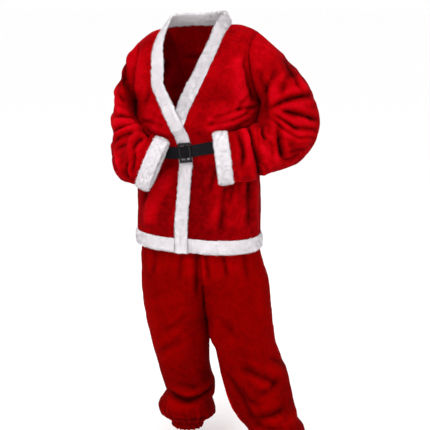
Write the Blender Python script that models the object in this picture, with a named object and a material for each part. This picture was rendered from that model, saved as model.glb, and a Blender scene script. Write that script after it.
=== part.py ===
"""Santa suit as worn: a red plush wrap jacket with white fur trims, a black belt and plush trousers.

Metres, +Z up, the suit faces -Y. Heights in the tables are above the floor that the wearer stands on,
and the origin is at the base of the neck, where the wearer's shoulders hold the suit up.
Left and right are the wearer's: the left side is at +X.
"""

import math

import bmesh
import bpy
import numpy as np

for leftover in list(bpy.data.objects):
    bpy.data.objects.remove(leftover)

# Driving sizes
HOLD_HEIGHT = 1.44  # base of the neck above the floor
WALL = 0.003  # plush cloth with its nap
SEAM_GAP = 0.0003
TRIM_WIDTH = 0.044  # fur band of the front and neck
CUFF_WIDTH = 0.048
HEM_BAND = 0.048
BELT_WIDTH = 0.040
BELT_THICKNESS = 0.0022
BELT_HEIGHT = 1.035
UNDERARM = 1.20
HEM = 0.700
CROTCH = 0.455
FORK = 0.17  # height of the fold between the legs, above the crotch
WAIST_TOP = 0.985
WAISTBAND = 0.036
CHEST_TURN = math.radians(15)  # the chest is turned to the wearer's right
BODY_CENTRE = np.array([-0.005, 0.0, 0.0])
SQUARENESS = 2.3  # exponent of the body's rings: 2 is an ellipse
UNDERLAP_INSET = 0.0095  # how far the left front lies behind the right one

ACROSS = np.array([math.cos(CHEST_TURN), -math.sin(CHEST_TURN), 0.0])
FORWARD = np.array([-math.sin(CHEST_TURN), -math.cos(CHEST_TURN), 0.0])
UP = np.array([0.0, 0.0, 1.0])


def table(columns, rows):
    """Named columns of a list of rows."""
    values = np.array(rows, float)
    return {name: values[:, i] for i, name in enumerate(columns.split())}


def smooth(xs, ys, at):
    """A curve through the points (xs, ys), read at the values of at. Each slope is the harmonic mean
    of the slopes on its two sides, or level at a peak, so the curve never overshoots."""
    xs, ys, at = np.asarray(xs, float), np.asarray(ys, float), np.asarray(at, float)
    flat = ys.ndim == 1
    ys = ys.reshape(len(xs), -1)
    step = np.diff(xs)[:, None]
    slope = np.diff(ys, axis=0) / step
    product = slope[:-1] * slope[1:]
    total = np.where(np.abs(slope[:-1] + slope[1:]) < 1e-12, 1.0, slope[:-1] + slope[1:])
    inner = np.where(product > 0, 2 * product / total, 0.0)
    tangent = np.vstack([slope[:1], inner, slope[-1:]])
    at = np.clip(at, xs[0], xs[-1])
    k = np.clip(np.searchsorted(xs, at, side="right") - 1, 0, len(xs) - 2)
    t = ((at - xs[k]) / step[k, 0])[..., None]
    value = (
        ys[k] * (1 + 2 * t) * (1 - t) ** 2
        + ys[k + 1] * t**2 * (3 - 2 * t)
        + step[k] * (tangent[k] * t * (1 - t) ** 2 - tangent[k + 1] * t**2 * (1 - t))
    )
    return value[..., 0] if flat else value


def ease(t):
    """0 below 0, 1 above 1, and a smooth step between."""
    t = np.clip(t, 0.0, 1.0)
    return t * t * (3 - 2 * t)


def unit(v):
    return v / np.maximum(np.linalg.norm(v, axis=-1, keepdims=True), 1e-12)


# Folds: each is a ridge, or a trough where depth is negative, drawn on the front or back view.
# It runs from (x0, h0) to (x1, h1), bowed sideways in its middle, and fades at both ends.
FOLD_COLUMNS = "x0 h0 x1 h1 bow depth width"


def fold_height(points, normals, folds, view):
    """How far each point moves out. view is -1 for folds seen from the front, 1 from the back."""
    height = np.zeros(points.shape[:-1])
    facing = ease((normals[..., 1] * view + 0.45) / 0.6)
    for x0, h0, x1, h1, bow, depth, width in folds:
        start = np.array([x0, h0])
        run = np.array([x1, h1]) - start
        length = np.hypot(*run)
        along = run / length
        offset = points[..., [0, 2]] - start
        t = (offset @ along) / length
        side = offset @ np.array([-along[1], along[0]]) - bow * (1 - (2 * t - 1) ** 2)
        fade = ease((0.5 - np.abs(t - 0.5)) / 0.3 + 0.35)
        height += depth * fade * np.exp(-((side / width) ** 2))
    return height * facing


def creased(points, normals, front=(), back=()):
    moved = fold_height(points, normals, front, -1) + fold_height(points, normals, back, 1)
    return points + normals * moved[..., None]


def shared_normals(grids, insides, wraps, groups):
    """Outward normals of several grids that meet at seams. Points at the same place share one normal,
    halfway between the groups that meet there, so that two edges that meet are cut along the same plane."""
    points, faces, starts, owners = [], [], [], []
    count = 0
    for grid, inside, wrap, group in zip(grids, insides, wraps, groups):
        rows, cols = grid.shape[:2]
        index = np.arange(rows * cols).reshape(rows, cols)
        if wrap:
            index = np.hstack([index, index[:, :1]])
        quads = np.stack([index[:-1, :-1], index[:-1, 1:], index[1:, 1:], index[1:, :-1]], -1)
        quads = quads.reshape(-1, 4)
        flat = grid.reshape(-1, 3)
        normal = np.cross(flat[quads[:, 2]] - flat[quads[:, 0]], flat[quads[:, 3]] - flat[quads[:, 1]])
        outward = flat[quads].mean(1) - np.broadcast_to(inside, grid.shape).reshape(-1, 3)[quads].mean(1)
        if (normal * outward).sum() < 0:
            quads = quads[:, ::-1]
        points.append(flat)
        faces.append(quads + count)
        owners.append(np.full(len(quads), group))
        starts.append(count)
        count += len(flat)
    points, faces = np.vstack(points), np.vstack(faces)
    _, welded = np.unique(np.round(points, 5), axis=0, return_inverse=True)
    welded = welded.reshape(-1)
    owners = np.concatenate(owners)
    corner = points[faces]
    normal = unit(np.cross(corner[:, 2] - corner[:, 0], corner[:, 3] - corner[:, 1]))
    total = np.zeros((max(groups) + 1, welded.max() + 1, 3))
    for corner in range(4):
        np.add.at(total, (owners, welded[faces[:, corner]]), normal)
    normals = unit(unit(total).sum(0))[welded]
    return [normals[s : s + g.size // 3].reshape(g.shape) for s, g in zip(starts, grids)]


def inset_edges(grid, wrap):
    """The grid with each open edge drawn in by half a seam gap, square to that edge."""
    moved = grid.copy()

    def draw_in(edge, beside):
        tangent = unit(np.gradient(edge, axis=0))
        inward = beside - edge
        inward = inward - (inward * tangent).sum(-1, keepdims=True) * tangent
        return unit(inward) * SEAM_GAP / 2

    moved[0] += draw_in(grid[0], grid[1])
    moved[-1] += draw_in(grid[-1], grid[-2])
    if not wrap:
        moved[:, 0] += draw_in(grid[:, 0], grid[:, 1])
        moved[:, -1] += draw_in(grid[:, -1], grid[:, -2])
    return moved


def new_object(name, points, faces, material):
    """An object from points and faces, its faces turned out and its surface shaded smooth."""
    mesh = bpy.data.meshes.new(name)
    shifted = np.asarray(points).reshape(-1, 3) - np.array([0.0, 0.0, HOLD_HEIGHT])
    mesh.from_pydata(shifted.tolist(), [], [list(map(int, f)) for f in faces])
    shape = bmesh.new()
    shape.from_mesh(mesh)
    bmesh.ops.recalc_face_normals(shape, faces=shape.faces)
    shape.to_mesh(mesh)
    shape.free()
    mesh.materials.append(material)
    mesh.shade_smooth()
    mesh.set_sharp_from_angle(angle=math.radians(50))
    made = bpy.data.objects.new(name, mesh)
    bpy.context.scene.collection.objects.link(made)
    return made


def halves(quads, points):
    """Two triangles for each quad, cut along its shorter diagonal."""
    corner = points[quads]
    first = np.linalg.norm(corner[:, 0] - corner[:, 2], axis=1)
    second = np.linalg.norm(corner[:, 1] - corner[:, 3], axis=1)
    across = first <= second
    one = np.where(across[:, None], quads[:, [0, 1, 2]], quads[:, [0, 1, 3]])
    two = np.where(across[:, None], quads[:, [0, 2, 3]], quads[:, [1, 2, 3]])
    return np.vstack([one, two])


def wall(name, grid, normals, material, wrap=False, outer=WALL / 2, inner=WALL / 2):
    """A cloth wall: the grid moved out and in along its normals, closed round its open edges."""
    rows, cols = grid.shape[:2]
    drawn = inset_edges(grid, wrap)
    points = np.concatenate([drawn + normals * outer, drawn - normals * inner]).reshape(-1, 3)
    index = np.arange(rows * cols).reshape(rows, cols)
    if wrap:
        index = np.hstack([index, index[:, :1]])
    below = index + rows * cols
    quads = np.stack([index[:-1, :-1], index[:-1, 1:], index[1:, 1:], index[1:, :-1]], -1).reshape(-1, 4)
    cut = halves(quads, grid.reshape(-1, 3))
    faces = [cut, cut[:, ::-1] + rows * cols]
    edges = [(index[0], below[0]), (below[-1], index[-1])]
    if not wrap:
        edges += [(below[:, 0], index[:, 0]), (index[:, -1], below[:, -1])]
    for a, b in edges:
        faces.append(halves(np.stack([a[:-1], b[:-1], b[1:], a[1:]], -1), points))
    return new_object(name, points, np.vstack(faces), material)


def sweep(name, seam, outward, normal, profile, material, root=None, loft=1.0, bend=0.0, closed=False):
    """A trim: a closed profile of (out from the seam, off the cloth) carried along the seam line.
    The profile's first and last points stand on the cloth's own cut edge, whose outward and normal
    directions are root. loft scales the rise off the cloth at each point of the line, and bend is how
    far the far edge is let down towards the cloth there."""
    count = len(seam)
    out, off = np.array(profile).T
    rise = np.where(off > 0, off * np.broadcast_to(loft, count)[:, None], off)
    rise = rise - np.broadcast_to(bend, count)[:, None] * (out / out.max()) ** 2
    points = seam[:, None] + outward[:, None] * out[:, None] + normal[:, None] * rise[..., None]
    root_outward, root_normal = root if root else (outward, normal)
    for k in (0, -1):
        points[:, k] = seam + root_outward * out[k] + root_normal * rise[:, k, None]
    if not closed:
        points[0] += unit(seam[1] - seam[0]) * SEAM_GAP / 2
        points[-1] += unit(seam[-2] - seam[-1]) * SEAM_GAP / 2
    index = np.arange(count * len(out)).reshape(count, len(out))
    index = np.hstack([index, index[:, :1]])
    if closed:
        index = np.vstack([index, index[:1]])
    quads = np.stack([index[:-1, :-1], index[1:, :-1], index[1:, 1:], index[:-1, 1:]], -1).reshape(-1, 4)
    faces = [list(t) for t in halves(quads, points.reshape(-1, 3))]
    if not closed:
        faces += [list(index[0, :-1]), list(index[-1, :-1][::-1])]
    return new_object(name, points, faces, material)


def finish(name, colour, roughness, metallic=0.0):
    material = bpy.data.materials.new(name)
    material.use_nodes = True
    shader = material.node_tree.nodes["Principled BSDF"]
    shader.inputs["Base Color"].default_value = (*colour, 1.0)
    shader.inputs["Roughness"].default_value = roughness
    shader.inputs["Metallic"].default_value = metallic
    return material


RED_PLUSH = finish("red_plush", (0.52, 0.004, 0.012), 0.85)
RED_TROUSER_PLUSH = finish("red_trouser_plush", (0.33, 0.002, 0.004), 0.9)
WHITE_FUR = finish("white_fur", (0.83, 0.79, 0.82), 0.95)
BLACK_WEBBING = finish("black_webbing", (0.012, 0.011, 0.013), 0.7)
BLACK_PLASTIC = finish("black_plastic", (0.015, 0.015, 0.017), 0.35)

# Jacket body
# Rings of the body from the hem to the underarm. lean lifts the wearer's left side.
BODY = table(
    "height half_width front back lean",
    [
        (HEM, 0.2145, 0.158, 0.155, -0.025),
        (0.76, 0.2120, 0.154, 0.152, -0.025),
        (0.86, 0.2110, 0.148, 0.150, 0.00),
        (0.95, 0.2060, 0.142, 0.142, 0.03),
        (1.004, 0.1970, 0.132, 0.130, 0.055),
        (1.074, 0.1970, 0.132, 0.130, 0.055),
        (1.116, 0.2050, 0.147, 0.141, 0.055),
        (1.150, 0.2090, 0.149, 0.146, 0.055),
        (UNDERARM, 0.2050, 0.143, 0.146, 0.055),
        (1.60, 0.2050, 0.143, 0.146, 0.055),
    ],
)
BODY_HEIGHTS = np.array(
    [HEM, HEM + HEM_BAND, 0.785, 0.822, 0.860, 0.896, 0.930, 0.960, 0.984, 1.006, 1.035, 1.060, 1.080]
    + [1.102, 1.130, 1.165, UNDERARM]
)
HEM_SEAM_ROW = 1
UPPER_ROWS = 10
FRONT_COLUMNS = 9
NECK_COLUMNS = 3

# Where each front ends, as the distance across from the centre front, measured at its seam with the fur.
RIGHT_EDGE = table(
    "height across",
    [(HEM, -0.040), (0.79, -0.040), (0.87, -0.035), (1.00, -0.028), (1.045, -0.030), (1.077, -0.040)]
    + [(1.110, -0.052), (1.142, -0.069), (1.174, -0.085), (UNDERARM, -0.099)],
)
LEFT_EDGE = table(
    "height across",
    [(HEM, -0.034), (0.95, -0.034), (1.05, -0.032), (1.10, -0.020), (1.142, -0.005), (1.174, 0.008)]
    + [(UNDERARM, 0.021)],
)

# The neck edge above the underarm level, from the row there (share 0) to the neck point (share 1).
NECK_SHARES = (0.0, 0.28, 0.55, 0.8, 1.0)
RIGHT_NECK = table(
    "across front height",
    [(-0.123, 0.124, 1.268), (-0.131, 0.098, 1.345), (-0.124, 0.055, 1.408), (-0.112, 0.0, 1.437)],
)
LEFT_NECK = table(
    "across front height",
    [(0.058, 0.138, 1.272), (0.088, 0.108, 1.348), (0.106, 0.062, 1.410), (0.112, 0.0, 1.437)],
)
SHOULDER_TIPS = {1: (0.205, 0.0, 1.406), -1: (-0.205, 0.0, 1.397)}
BACK_NECK = (0.0, -0.082, 1.440)
BACK_NECK_CURVE = ((0.112, 0.0, 1.437), (0.108, -0.050, 1.445), (0.050, -0.082, 1.443), BACK_NECK)
SPINE = ((0.0, -0.146, UNDERARM), (0.0, -0.150, 1.29), (0.0, -0.125, 1.40), BACK_NECK)
ARMHOLE_FRONT = ((0.203, 0.080, 1.236), (0.168, 0.112, 1.380))
ARMHOLE_BACK = ((0.205, -0.080, 1.236), (0.178, -0.112, 1.384))


def body_point(across, front, height):
    """A point from its distance across, forward and up, in the turned and leaning frame of the chest."""
    across, front, height = np.broadcast_arrays(*map(np.asarray, (across, front, height)))
    lean = smooth(BODY["height"], BODY["lean"], height)
    flat = across[..., None] * ACROSS + front[..., None] * FORWARD
    return BODY_CENTRE + flat + (height + lean * across)[..., None] * UP


def body_ring(angle, height, inset=0.0):
    """A point of the body at an angle from the centre front, positive to the wearer's left."""
    width = smooth(BODY["height"], BODY["half_width"], height) - inset
    front = smooth(BODY["height"], BODY["front"], height) - inset
    back = smooth(BODY["height"], BODY["back"], height) - inset
    depth = np.where(np.cos(angle) > 0, front, back)
    power = 2 / SQUARENESS
    across = width * np.sign(np.sin(angle)) * np.abs(np.sin(angle)) ** power
    forward = depth * np.sign(np.cos(angle)) * np.abs(np.cos(angle)) ** power
    return body_point(across, forward, height)


def angle_at(across, height):
    """The angle of the ring point that lies this far across."""
    share = np.abs(across) / smooth(BODY["height"], BODY["half_width"], height)
    return np.sign(across) * np.arcsin(share ** (SQUARENESS / 2))


def underlap(angle, height):
    """How far the left front is set in: fully beneath the right front and its fur, easing out beyond."""
    across = 0.20 * np.sin(angle)
    slant = np.interp(height, [1.05, 1.14], [0.0, 0.012])
    free_edge = smooth(RIGHT_EDGE["height"], RIGHT_EDGE["across"], height) + TRIM_WIDTH + slant
    return UNDERLAP_INSET * ease((free_edge + 0.060 - across) / 0.042)


def bezier(points, t):
    a, b, c, d = (np.asarray(p, float) for p in points)
    t = np.asarray(t)[..., None]
    return a * (1 - t) ** 3 + 3 * b * t * (1 - t) ** 2 + 3 * c * t**2 * (1 - t) + d * t**3


def coons(bottom, top, left, right):
    """The surface that four edge curves span: the two straight blends added, less that of the corners."""
    s = np.linspace(0, 1, len(bottom))[None, :, None]
    t = np.linspace(0, 1, len(left))[:, None, None]
    rails = (1 - t) * bottom[None] + t * top[None] + (1 - s) * left[:, None] + s * right[:, None]
    corners = (1 - t) * ((1 - s) * bottom[0] + s * bottom[-1]) + t * ((1 - s) * top[0] + s * top[-1])
    return rails - corners


def mirrored(side, triple):
    across, front, height = triple
    return (side * across, front, height)


def shoulder_seam(side):
    """The seam from the shoulder's tip to the neck, arched a little over the shoulder."""
    t = np.linspace(0, 1, FRONT_COLUMNS + 1)
    tip = np.array(SHOULDER_TIPS[side])
    neck = np.array(mirrored(side, (0.112, 0.0, 1.437)))
    line = tip + (neck - tip) * t[:, None]
    line[:, 2] += 0.010 * np.sin(math.pi * t)
    return body_point(*line.T)


def armhole(side, controls):
    """One half of an armhole, from the underarm up to the shoulder's tip."""
    shares = np.linspace(0, 1, UPPER_ROWS + 1)
    start = (side * smooth(BODY["height"], BODY["half_width"], UNDERARM), 0.0, UNDERARM)
    curve = bezier([start, *(mirrored(side, c) for c in controls), SHOULDER_TIPS[side]], shares)
    return body_point(*curve.T)


def front_panel(side, edge, neck):
    """A front from hem to shoulder seam: rows up, columns from the side seam and armhole to the fur."""
    height = BODY_HEIGHTS[:, None]
    ends = angle_at(smooth(edge["height"], edge["across"], BODY_HEIGHTS), BODY_HEIGHTS)[:, None]
    share = np.linspace(0, 1, FRONT_COLUMNS + 1)[None]
    angle = side * math.pi / 2 * (1 - share) + ends * share
    inset = underlap(angle, height) if side > 0 else 0.0
    lower = body_ring(angle, height + 0 * angle, inset)
    line = np.array([neck["across"], neck["front"], neck["height"]]).T
    stations = np.vstack([lower[-1, -1][None], body_point(*line.T)])
    neck_edge = smooth(NECK_SHARES, stations, np.linspace(0, 1, UPPER_ROWS + 1))
    upper = coons(lower[-1], shoulder_seam(side), armhole(side, ARMHOLE_FRONT), neck_edge)
    return np.vstack([lower, upper[1:]])


def back_half(side):
    """Half of the back: rows up, columns from the side seam and armhole to the centre back."""
    height = BODY_HEIGHTS[:, None]
    share = np.linspace(0, 1, FRONT_COLUMNS + NECK_COLUMNS + 1)[None]
    lower = body_ring(side * math.pi / 2 * (1 + share), height + 0 * share)
    t = np.linspace(0, 1, NECK_COLUMNS + 1)
    neck = [mirrored(side, point) for point in BACK_NECK_CURVE]
    neck_curve = body_point(*bezier(neck, t).T)
    top = np.vstack([shoulder_seam(side), neck_curve[1:]])
    spine = bezier(SPINE, np.linspace(0, 1, UPPER_ROWS + 1))
    upper = coons(lower[-1], top, armhole(side, ARMHOLE_BACK), body_point(*spine.T))
    return np.vstack([lower, upper[1:]])


# Sleeves
# Each row is a ring: its inner point, next to the body or in the crook of the elbow, its outer point,
# its half depth, and how many degrees its front is turned to the wearer's right.
# The first ring is the armhole, so it isn't in the table.
SLEEVE_COLUMNS = "in_x in_y in_h out_x out_y out_h half_depth turn"
LEFT_SLEEVE = table(
    SLEEVE_COLUMNS,
    [
        (0.211, -0.066, 1.180, 0.262, -0.058, 1.356, 0.090, 15),
        (0.201, -0.080, 1.164, 0.313, -0.060, 1.302, 0.093, 20),
        (0.194, -0.092, 1.152, 0.363, -0.062, 1.228, 0.096, 22),
        (0.192, -0.102, 1.142, 0.393, -0.070, 1.130, 0.097, 18),
        (0.192, -0.111, 1.134, 0.374, -0.092, 1.064, 0.092, 8),
        (0.191, -0.121, 1.129, 0.318, -0.138, 1.000, 0.077, -8),
        (0.178, -0.152, 1.130, 0.222, -0.180, 0.974, 0.062, -15),
        (0.136, -0.203, 1.119, 0.157, -0.208, 0.955, 0.051, -9),
        (0.089, -0.222, 1.111, 0.109, -0.220, 0.954, 0.044, -1),
    ],
)
RIGHT_SLEEVE = table(
    SLEEVE_COLUMNS,
    [
        (-0.217, 0.050, 1.174, -0.238, 0.052, 1.342, 0.088, 15),
        (-0.210, 0.040, 1.152, -0.255, 0.040, 1.292, 0.091, 14),
        (-0.200, 0.026, 1.136, -0.283, 0.024, 1.212, 0.092, 12),
        (-0.192, 0.006, 1.126, -0.294, 0.002, 1.132, 0.091, 8),
        (-0.188, -0.024, 1.122, -0.294, -0.028, 1.066, 0.087, 4),
        (-0.184, -0.064, 1.118, -0.290, -0.070, 0.996, 0.076, 5),
        (-0.180, -0.105, 1.112, -0.274, -0.113, 0.960, 0.064, 11),
        (-0.164, -0.140, 1.100, -0.245, -0.148, 0.942, 0.054, 12),
        (-0.142, -0.160, 1.089, -0.207, -0.166, 0.936, 0.044, 9),
    ],
)
RINGS_PER_STATION = 3
# Distance between the middles of the sleeve's and the body's cloth, ring by ring from the armhole
SLEEVE_CLEARANCE = np.array([0.0, 0.0100, 0.0165, 0.0180, 0.0165, 0.0140, 0.0115])


def keep_off_body(rings):
    """Rings with the points that would lie in the body, or less than the clearance off it, moved out,
    then evened out along the sleeve. A point is as far out as
    ((across / width)^n + (forward / depth)^n)^(1/n), which is 1 on the body."""
    row = np.arange(len(rings))[:, None]
    clearance = SLEEVE_CLEARANCE[np.minimum(row, len(SLEEVE_CLEARANCE) - 1)]
    flat = rings - BODY_CENTRE
    across, forward = flat @ ACROSS, flat @ FORWARD
    height = rings[..., 2] - smooth(BODY["height"], BODY["lean"], rings[..., 2]) * across
    width = smooth(BODY["height"], BODY["half_width"], height) + clearance
    front = smooth(BODY["height"], BODY["front"], height) + clearance
    back = smooth(BODY["height"], BODY["back"], height) + clearance
    depth = np.where(forward > 0, front, back)
    powers = np.abs(across / width) ** SQUARENESS + np.abs(forward / depth) ** SQUARENESS
    share = powers ** (1 / SQUARENESS)
    push = np.where(row > 0, np.maximum(1 / share, 1.0), 1.0) - 1
    moved = rings + (push * across)[..., None] * ACROSS + (push * forward)[..., None] * FORWARD
    even = moved.copy()
    even[2:-1] = (moved[1:-2] + 2 * moved[2:-1] + moved[3:]) / 4
    return even


def sleeve_rings(side, stations):
    """Rings from the armhole to the cuff seam, each from the underarm round the front and back again."""
    half = UPPER_ROWS
    front, back = armhole(side, ARMHOLE_FRONT), armhole(side, ARMHOLE_BACK)
    loop = np.vstack([front, back[1:-1][::-1]])
    inner = np.stack([stations["in_x"], stations["in_y"], stations["in_h"]], -1)
    outer = np.stack([stations["out_x"], stations["out_y"], stations["out_h"]], -1)
    centre, reach = (inner + outer) / 2, (outer - inner) / 2
    turn = np.radians(stations["turn"])
    ahead = np.stack([-np.sin(turn), -np.cos(turn), 0 * turn], -1)
    along = unit(reach)
    ahead = unit(ahead - (ahead * along).sum(-1, keepdims=True) * along) * stations["half_depth"][:, None]
    angle = math.pi * np.arange(2 * half) / half
    power = 2 / 2.15
    cosine = np.sign(np.cos(angle)) * np.abs(np.cos(angle)) ** power
    sine = np.sign(np.sin(angle)) * np.abs(np.sin(angle)) ** power
    rings = centre[:, None] - reach[:, None] * cosine[:, None] + ahead[:, None] * sine[:, None]
    stack = np.concatenate([loop[None], rings])
    count = len(stack)
    shares = np.linspace(0, count - 1, (count - 1) * RINGS_PER_STATION + 1)
    flat = smooth(np.arange(count), stack.reshape(count, -1), shares)
    return keep_off_body(flat.reshape(len(shares), 2 * half, 3))


# Trousers
# Rows of each leg: where the side seam and the inseam or centre seam lie, and how far the cloth
# stands in front of and behind them. tilt lifts the front of the row.
LEG_COLUMNS = "height side_x side_y inner_x inner_y front back tilt"
RIGHT_LEG = table(
    LEG_COLUMNS,
    [
        (0.064, -0.093, -0.080, 0.004, -0.080, 0.056, 0.056, 0.06),
        (0.076, -0.102, -0.080, 0.010, -0.080, 0.060, 0.060, 0.06),
        (0.088, -0.101, -0.080, 0.009, -0.080, 0.056, 0.056, 0.06),
        (0.101, -0.122, -0.079, 0.036, -0.079, 0.078, 0.074, 0.06),
        (0.118, -0.142, -0.076, 0.052, -0.076, 0.096, 0.090, 0.05),
        (0.140, -0.147, -0.072, 0.046, -0.072, 0.100, 0.094, 0.04),
        (0.163, -0.134, -0.066, 0.040, -0.066, 0.094, 0.090, 0.03),
        (0.186, -0.120, -0.061, 0.048, -0.061, 0.092, 0.088, 0.02),
        (0.212, -0.127, -0.056, 0.050, -0.056, 0.096, 0.092, 0.0),
        (0.248, -0.139, -0.047, 0.038, -0.047, 0.098, 0.096, 0.0),
        (0.290, -0.150, -0.037, 0.030, -0.037, 0.100, 0.100, 0.0),
        (0.350, -0.168, -0.024, 0.030, -0.020, 0.104, 0.108, 0.0),
        (0.376, -0.175, -0.018, 0.034, -0.002, 0.107, 0.112, 0.0),
        (0.400, -0.181, -0.014, 0.0325, 0.014, 0.109, 0.116, 0.0),
        (0.420, -0.186, -0.011, 0.0265, 0.020, 0.111, 0.119, 0.0),
        (0.437, -0.190, -0.009, 0.0190, 0.012, 0.112, 0.121, 0.0),
        (0.448, -0.192, -0.008, 0.0135, 0.003, 0.113, 0.122, 0.0),
        (CROTCH, -0.193, -0.008, 0.0165, 0.0, 0.114, 0.123, 0.0),
    ],
)
LEFT_LEG = table(
    LEG_COLUMNS,
    [
        (0.046, 0.326, -0.302, 0.222, -0.302, 0.056, 0.056, 0.26),
        (0.060, 0.331, -0.300, 0.217, -0.300, 0.060, 0.060, 0.26),
        (0.074, 0.330, -0.298, 0.220, -0.298, 0.057, 0.057, 0.26),
        (0.089, 0.347, -0.290, 0.192, -0.290, 0.082, 0.076, 0.26),
        (0.107, 0.352, -0.276, 0.172, -0.276, 0.098, 0.092, 0.24),
        (0.132, 0.345, -0.256, 0.157, -0.256, 0.100, 0.096, 0.20),
        (0.160, 0.325, -0.232, 0.128, -0.232, 0.098, 0.096, 0.17),
        (0.195, 0.315, -0.205, 0.101, -0.205, 0.099, 0.098, 0.14),
        (0.235, 0.308, -0.176, 0.085, -0.176, 0.101, 0.100, 0.10),
        (0.288, 0.295, -0.142, 0.069, -0.142, 0.103, 0.104, 0.06),
        (0.324, 0.280, -0.120, 0.060, -0.120, 0.106, 0.108, 0.03),
        (0.360, 0.262, -0.098, 0.050, -0.094, 0.110, 0.112, 0.0),
        (0.380, 0.257, -0.087, 0.036, -0.084, 0.112, 0.115, 0.0),
        (0.400, 0.254, -0.076, 0.0300, -0.068, 0.113, 0.118, 0.0),
        (0.420, 0.252, -0.066, 0.0272, -0.046, 0.114, 0.120, 0.0),
        (0.437, 0.250, -0.056, 0.0256, -0.020, 0.115, 0.122, 0.0),
        (0.448, 0.249, -0.051, 0.0200, -0.004, 0.115, 0.123, 0.0),
        (CROTCH, 0.248, -0.048, 0.0165, 0.0, 0.115, 0.123, 0.0),
    ],
)
# The seat above the crotch, shared by both sides. The left hip stands out further than the right.
SEAT = table(
    "height right_x left_x side_y_right side_y_left inner_x front back",
    [
        (CROTCH, -0.193, 0.248, -0.008, -0.048, 0.0165, 0.114, 0.123),
        (0.50, -0.199, 0.243, -0.001, -0.032, 0.012, 0.118, 0.130),
        (0.57, -0.205, 0.236, 0.006, -0.024, 0.008, 0.124, 0.138),
        (0.65, -0.206, 0.213, 0.014, -0.024, 0.003, 0.126, 0.138),
        (0.70, -0.201, 0.200, 0.022, -0.030, 0.0, 0.122, 0.132),
        (0.78, -0.189, 0.188, 0.026, -0.034, 0.0, 0.116, 0.124),
        (0.88, -0.180, 0.180, 0.022, -0.030, 0.0, 0.112, 0.116),
        (0.95, -0.170, 0.170, 0.012, -0.016, 0.0, 0.110, 0.110),
        (WAIST_TOP, -0.164, 0.164, 0.006, -0.008, 0.0, 0.109, 0.107),
    ],
)
SEAT_HEIGHTS = np.array(
    [0.475, 0.497, 0.520, 0.545, 0.575, 0.610, 0.650, 0.700, 0.755, 0.820, 0.900, WAIST_TOP]
)
LEG_HEIGHTS = {
    -1: [0.064, 0.076, 0.088, 0.097, 0.108, 0.124, 0.142, 0.162, 0.182, 0.205, 0.232, 0.262, 0.296]
    + [0.330, 0.358, 0.380, 0.400, 0.420, 0.438, 0.448, CROTCH],
    1: [0.046, 0.060, 0.074, 0.083, 0.096, 0.114, 0.134, 0.156, 0.180, 0.206, 0.236, 0.268, 0.302]
    + [0.332, 0.358, 0.380, 0.400, 0.420, 0.438, 0.448, CROTCH],
}
LEG_COLUMNS_PER_PANEL = 8
QUARTER = 0.5523  # control length of a quarter ellipse
HALF = 4 / 3  # control length of a half ellipse


def leg_rows(side):
    """The columns of each row of one side, from the ankle frill to the waist, as arrays down the rows."""
    leg = LEFT_LEG if side > 0 else RIGHT_LEG
    low = np.array(LEG_HEIGHTS[side])
    names = "side_x side_y inner_x inner_y front back tilt".split()
    lower = {name: smooth(leg["height"], leg[name], low) for name in names}
    seat = {name: smooth(SEAT["height"], SEAT[name], SEAT_HEIGHTS) for name in SEAT}
    none = np.zeros(len(SEAT_HEIGHTS))
    upper = {
        "side_x": seat["left_x"] if side > 0 else seat["right_x"],
        "side_y": seat["side_y_left"] if side > 0 else seat["side_y_right"],
        "inner_x": seat["inner_x"],
        "inner_y": none,
        "front": seat["front"],
        "back": seat["back"],
        "tilt": none,
    }
    rows = {name: np.concatenate([lower[name], upper[name]]) for name in names}
    rows["height"] = np.concatenate([low, SEAT_HEIGHTS])
    rise = np.clip((rows["height"] - CROTCH) / FORK, 0, 1)
    rows["fork"] = (rise + ease(rise)) / 2
    return rows


def leg_panel(side, facing):
    """A front (facing -1) or back (facing 1) of one side: rows up, columns from side seam to inner seam.
    Each row is one cubic curve. Below the crotch it is half a ring that ends at the inseam. The fork
    share turns it into a quarter ring that ends at the centre seam."""
    rows = leg_rows(side)
    depth = rows["front"] if facing < 0 else rows["back"]
    fork = rows["fork"]
    level = np.zeros_like(depth)
    start = np.stack([rows["side_x"], rows["side_y"], level], -1)
    end = np.stack([rows["inner_x"], rows["inner_y"] + facing * fork * depth, level], -1)
    start_pull = np.stack([level, facing * depth * (HALF * (1 - fork) + QUARTER * fork), level], -1)
    width = rows["side_x"] - rows["inner_x"]
    end_pull = np.stack([width * QUARTER * fork, facing * depth * HALF * (1 - fork), level], -1)
    share = np.linspace(0, 1, LEG_COLUMNS_PER_PANEL + 1)
    controls = [p[:, None] for p in (start, start + start_pull, end + end_pull, end)]
    grid = bezier(controls, share[None])
    middle_y = (rows["side_y"] + rows["inner_y"])[:, None] / 2
    grid[..., 2] = rows["height"][:, None] + rows["tilt"][:, None] * (middle_y - grid[..., 1])
    return grid, rows


# Largest folds, placed on the front and back views, in metres
JACKET_FOLDS_FRONT = [
    (-0.175, 0.800, -0.085, 0.985, 0.010, 0.010, 0.020),
    (-0.130, 0.770, -0.070, 0.930, 0.008, -0.008, 0.016),
    (0.020, 0.800, 0.090, 0.960, -0.010, 0.007, 0.018),
    (0.070, 0.770, 0.090, 0.950, 0.0, -0.008, 0.016),
    (0.130, 0.760, 0.120, 0.930, 0.0, 0.008, 0.018),
    (0.165, 0.780, 0.160, 0.960, 0.0, -0.007, 0.015),
    (0.020, 1.105, 0.150, 1.165, 0.008, 0.010, 0.022),
    (0.060, 1.085, 0.170, 1.110, 0.0, -0.008, 0.015),
    (-0.160, 1.110, -0.090, 1.090, 0.0, 0.008, 0.020),
    (0.150, 1.180, 0.125, 1.340, 0.010, 0.010, 0.020),
    (0.172, 1.200, 0.160, 1.320, 0.0, -0.010, 0.014),
    (-0.205, 1.220, -0.190, 1.330, 0.0, 0.006, 0.020),
]
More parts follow.
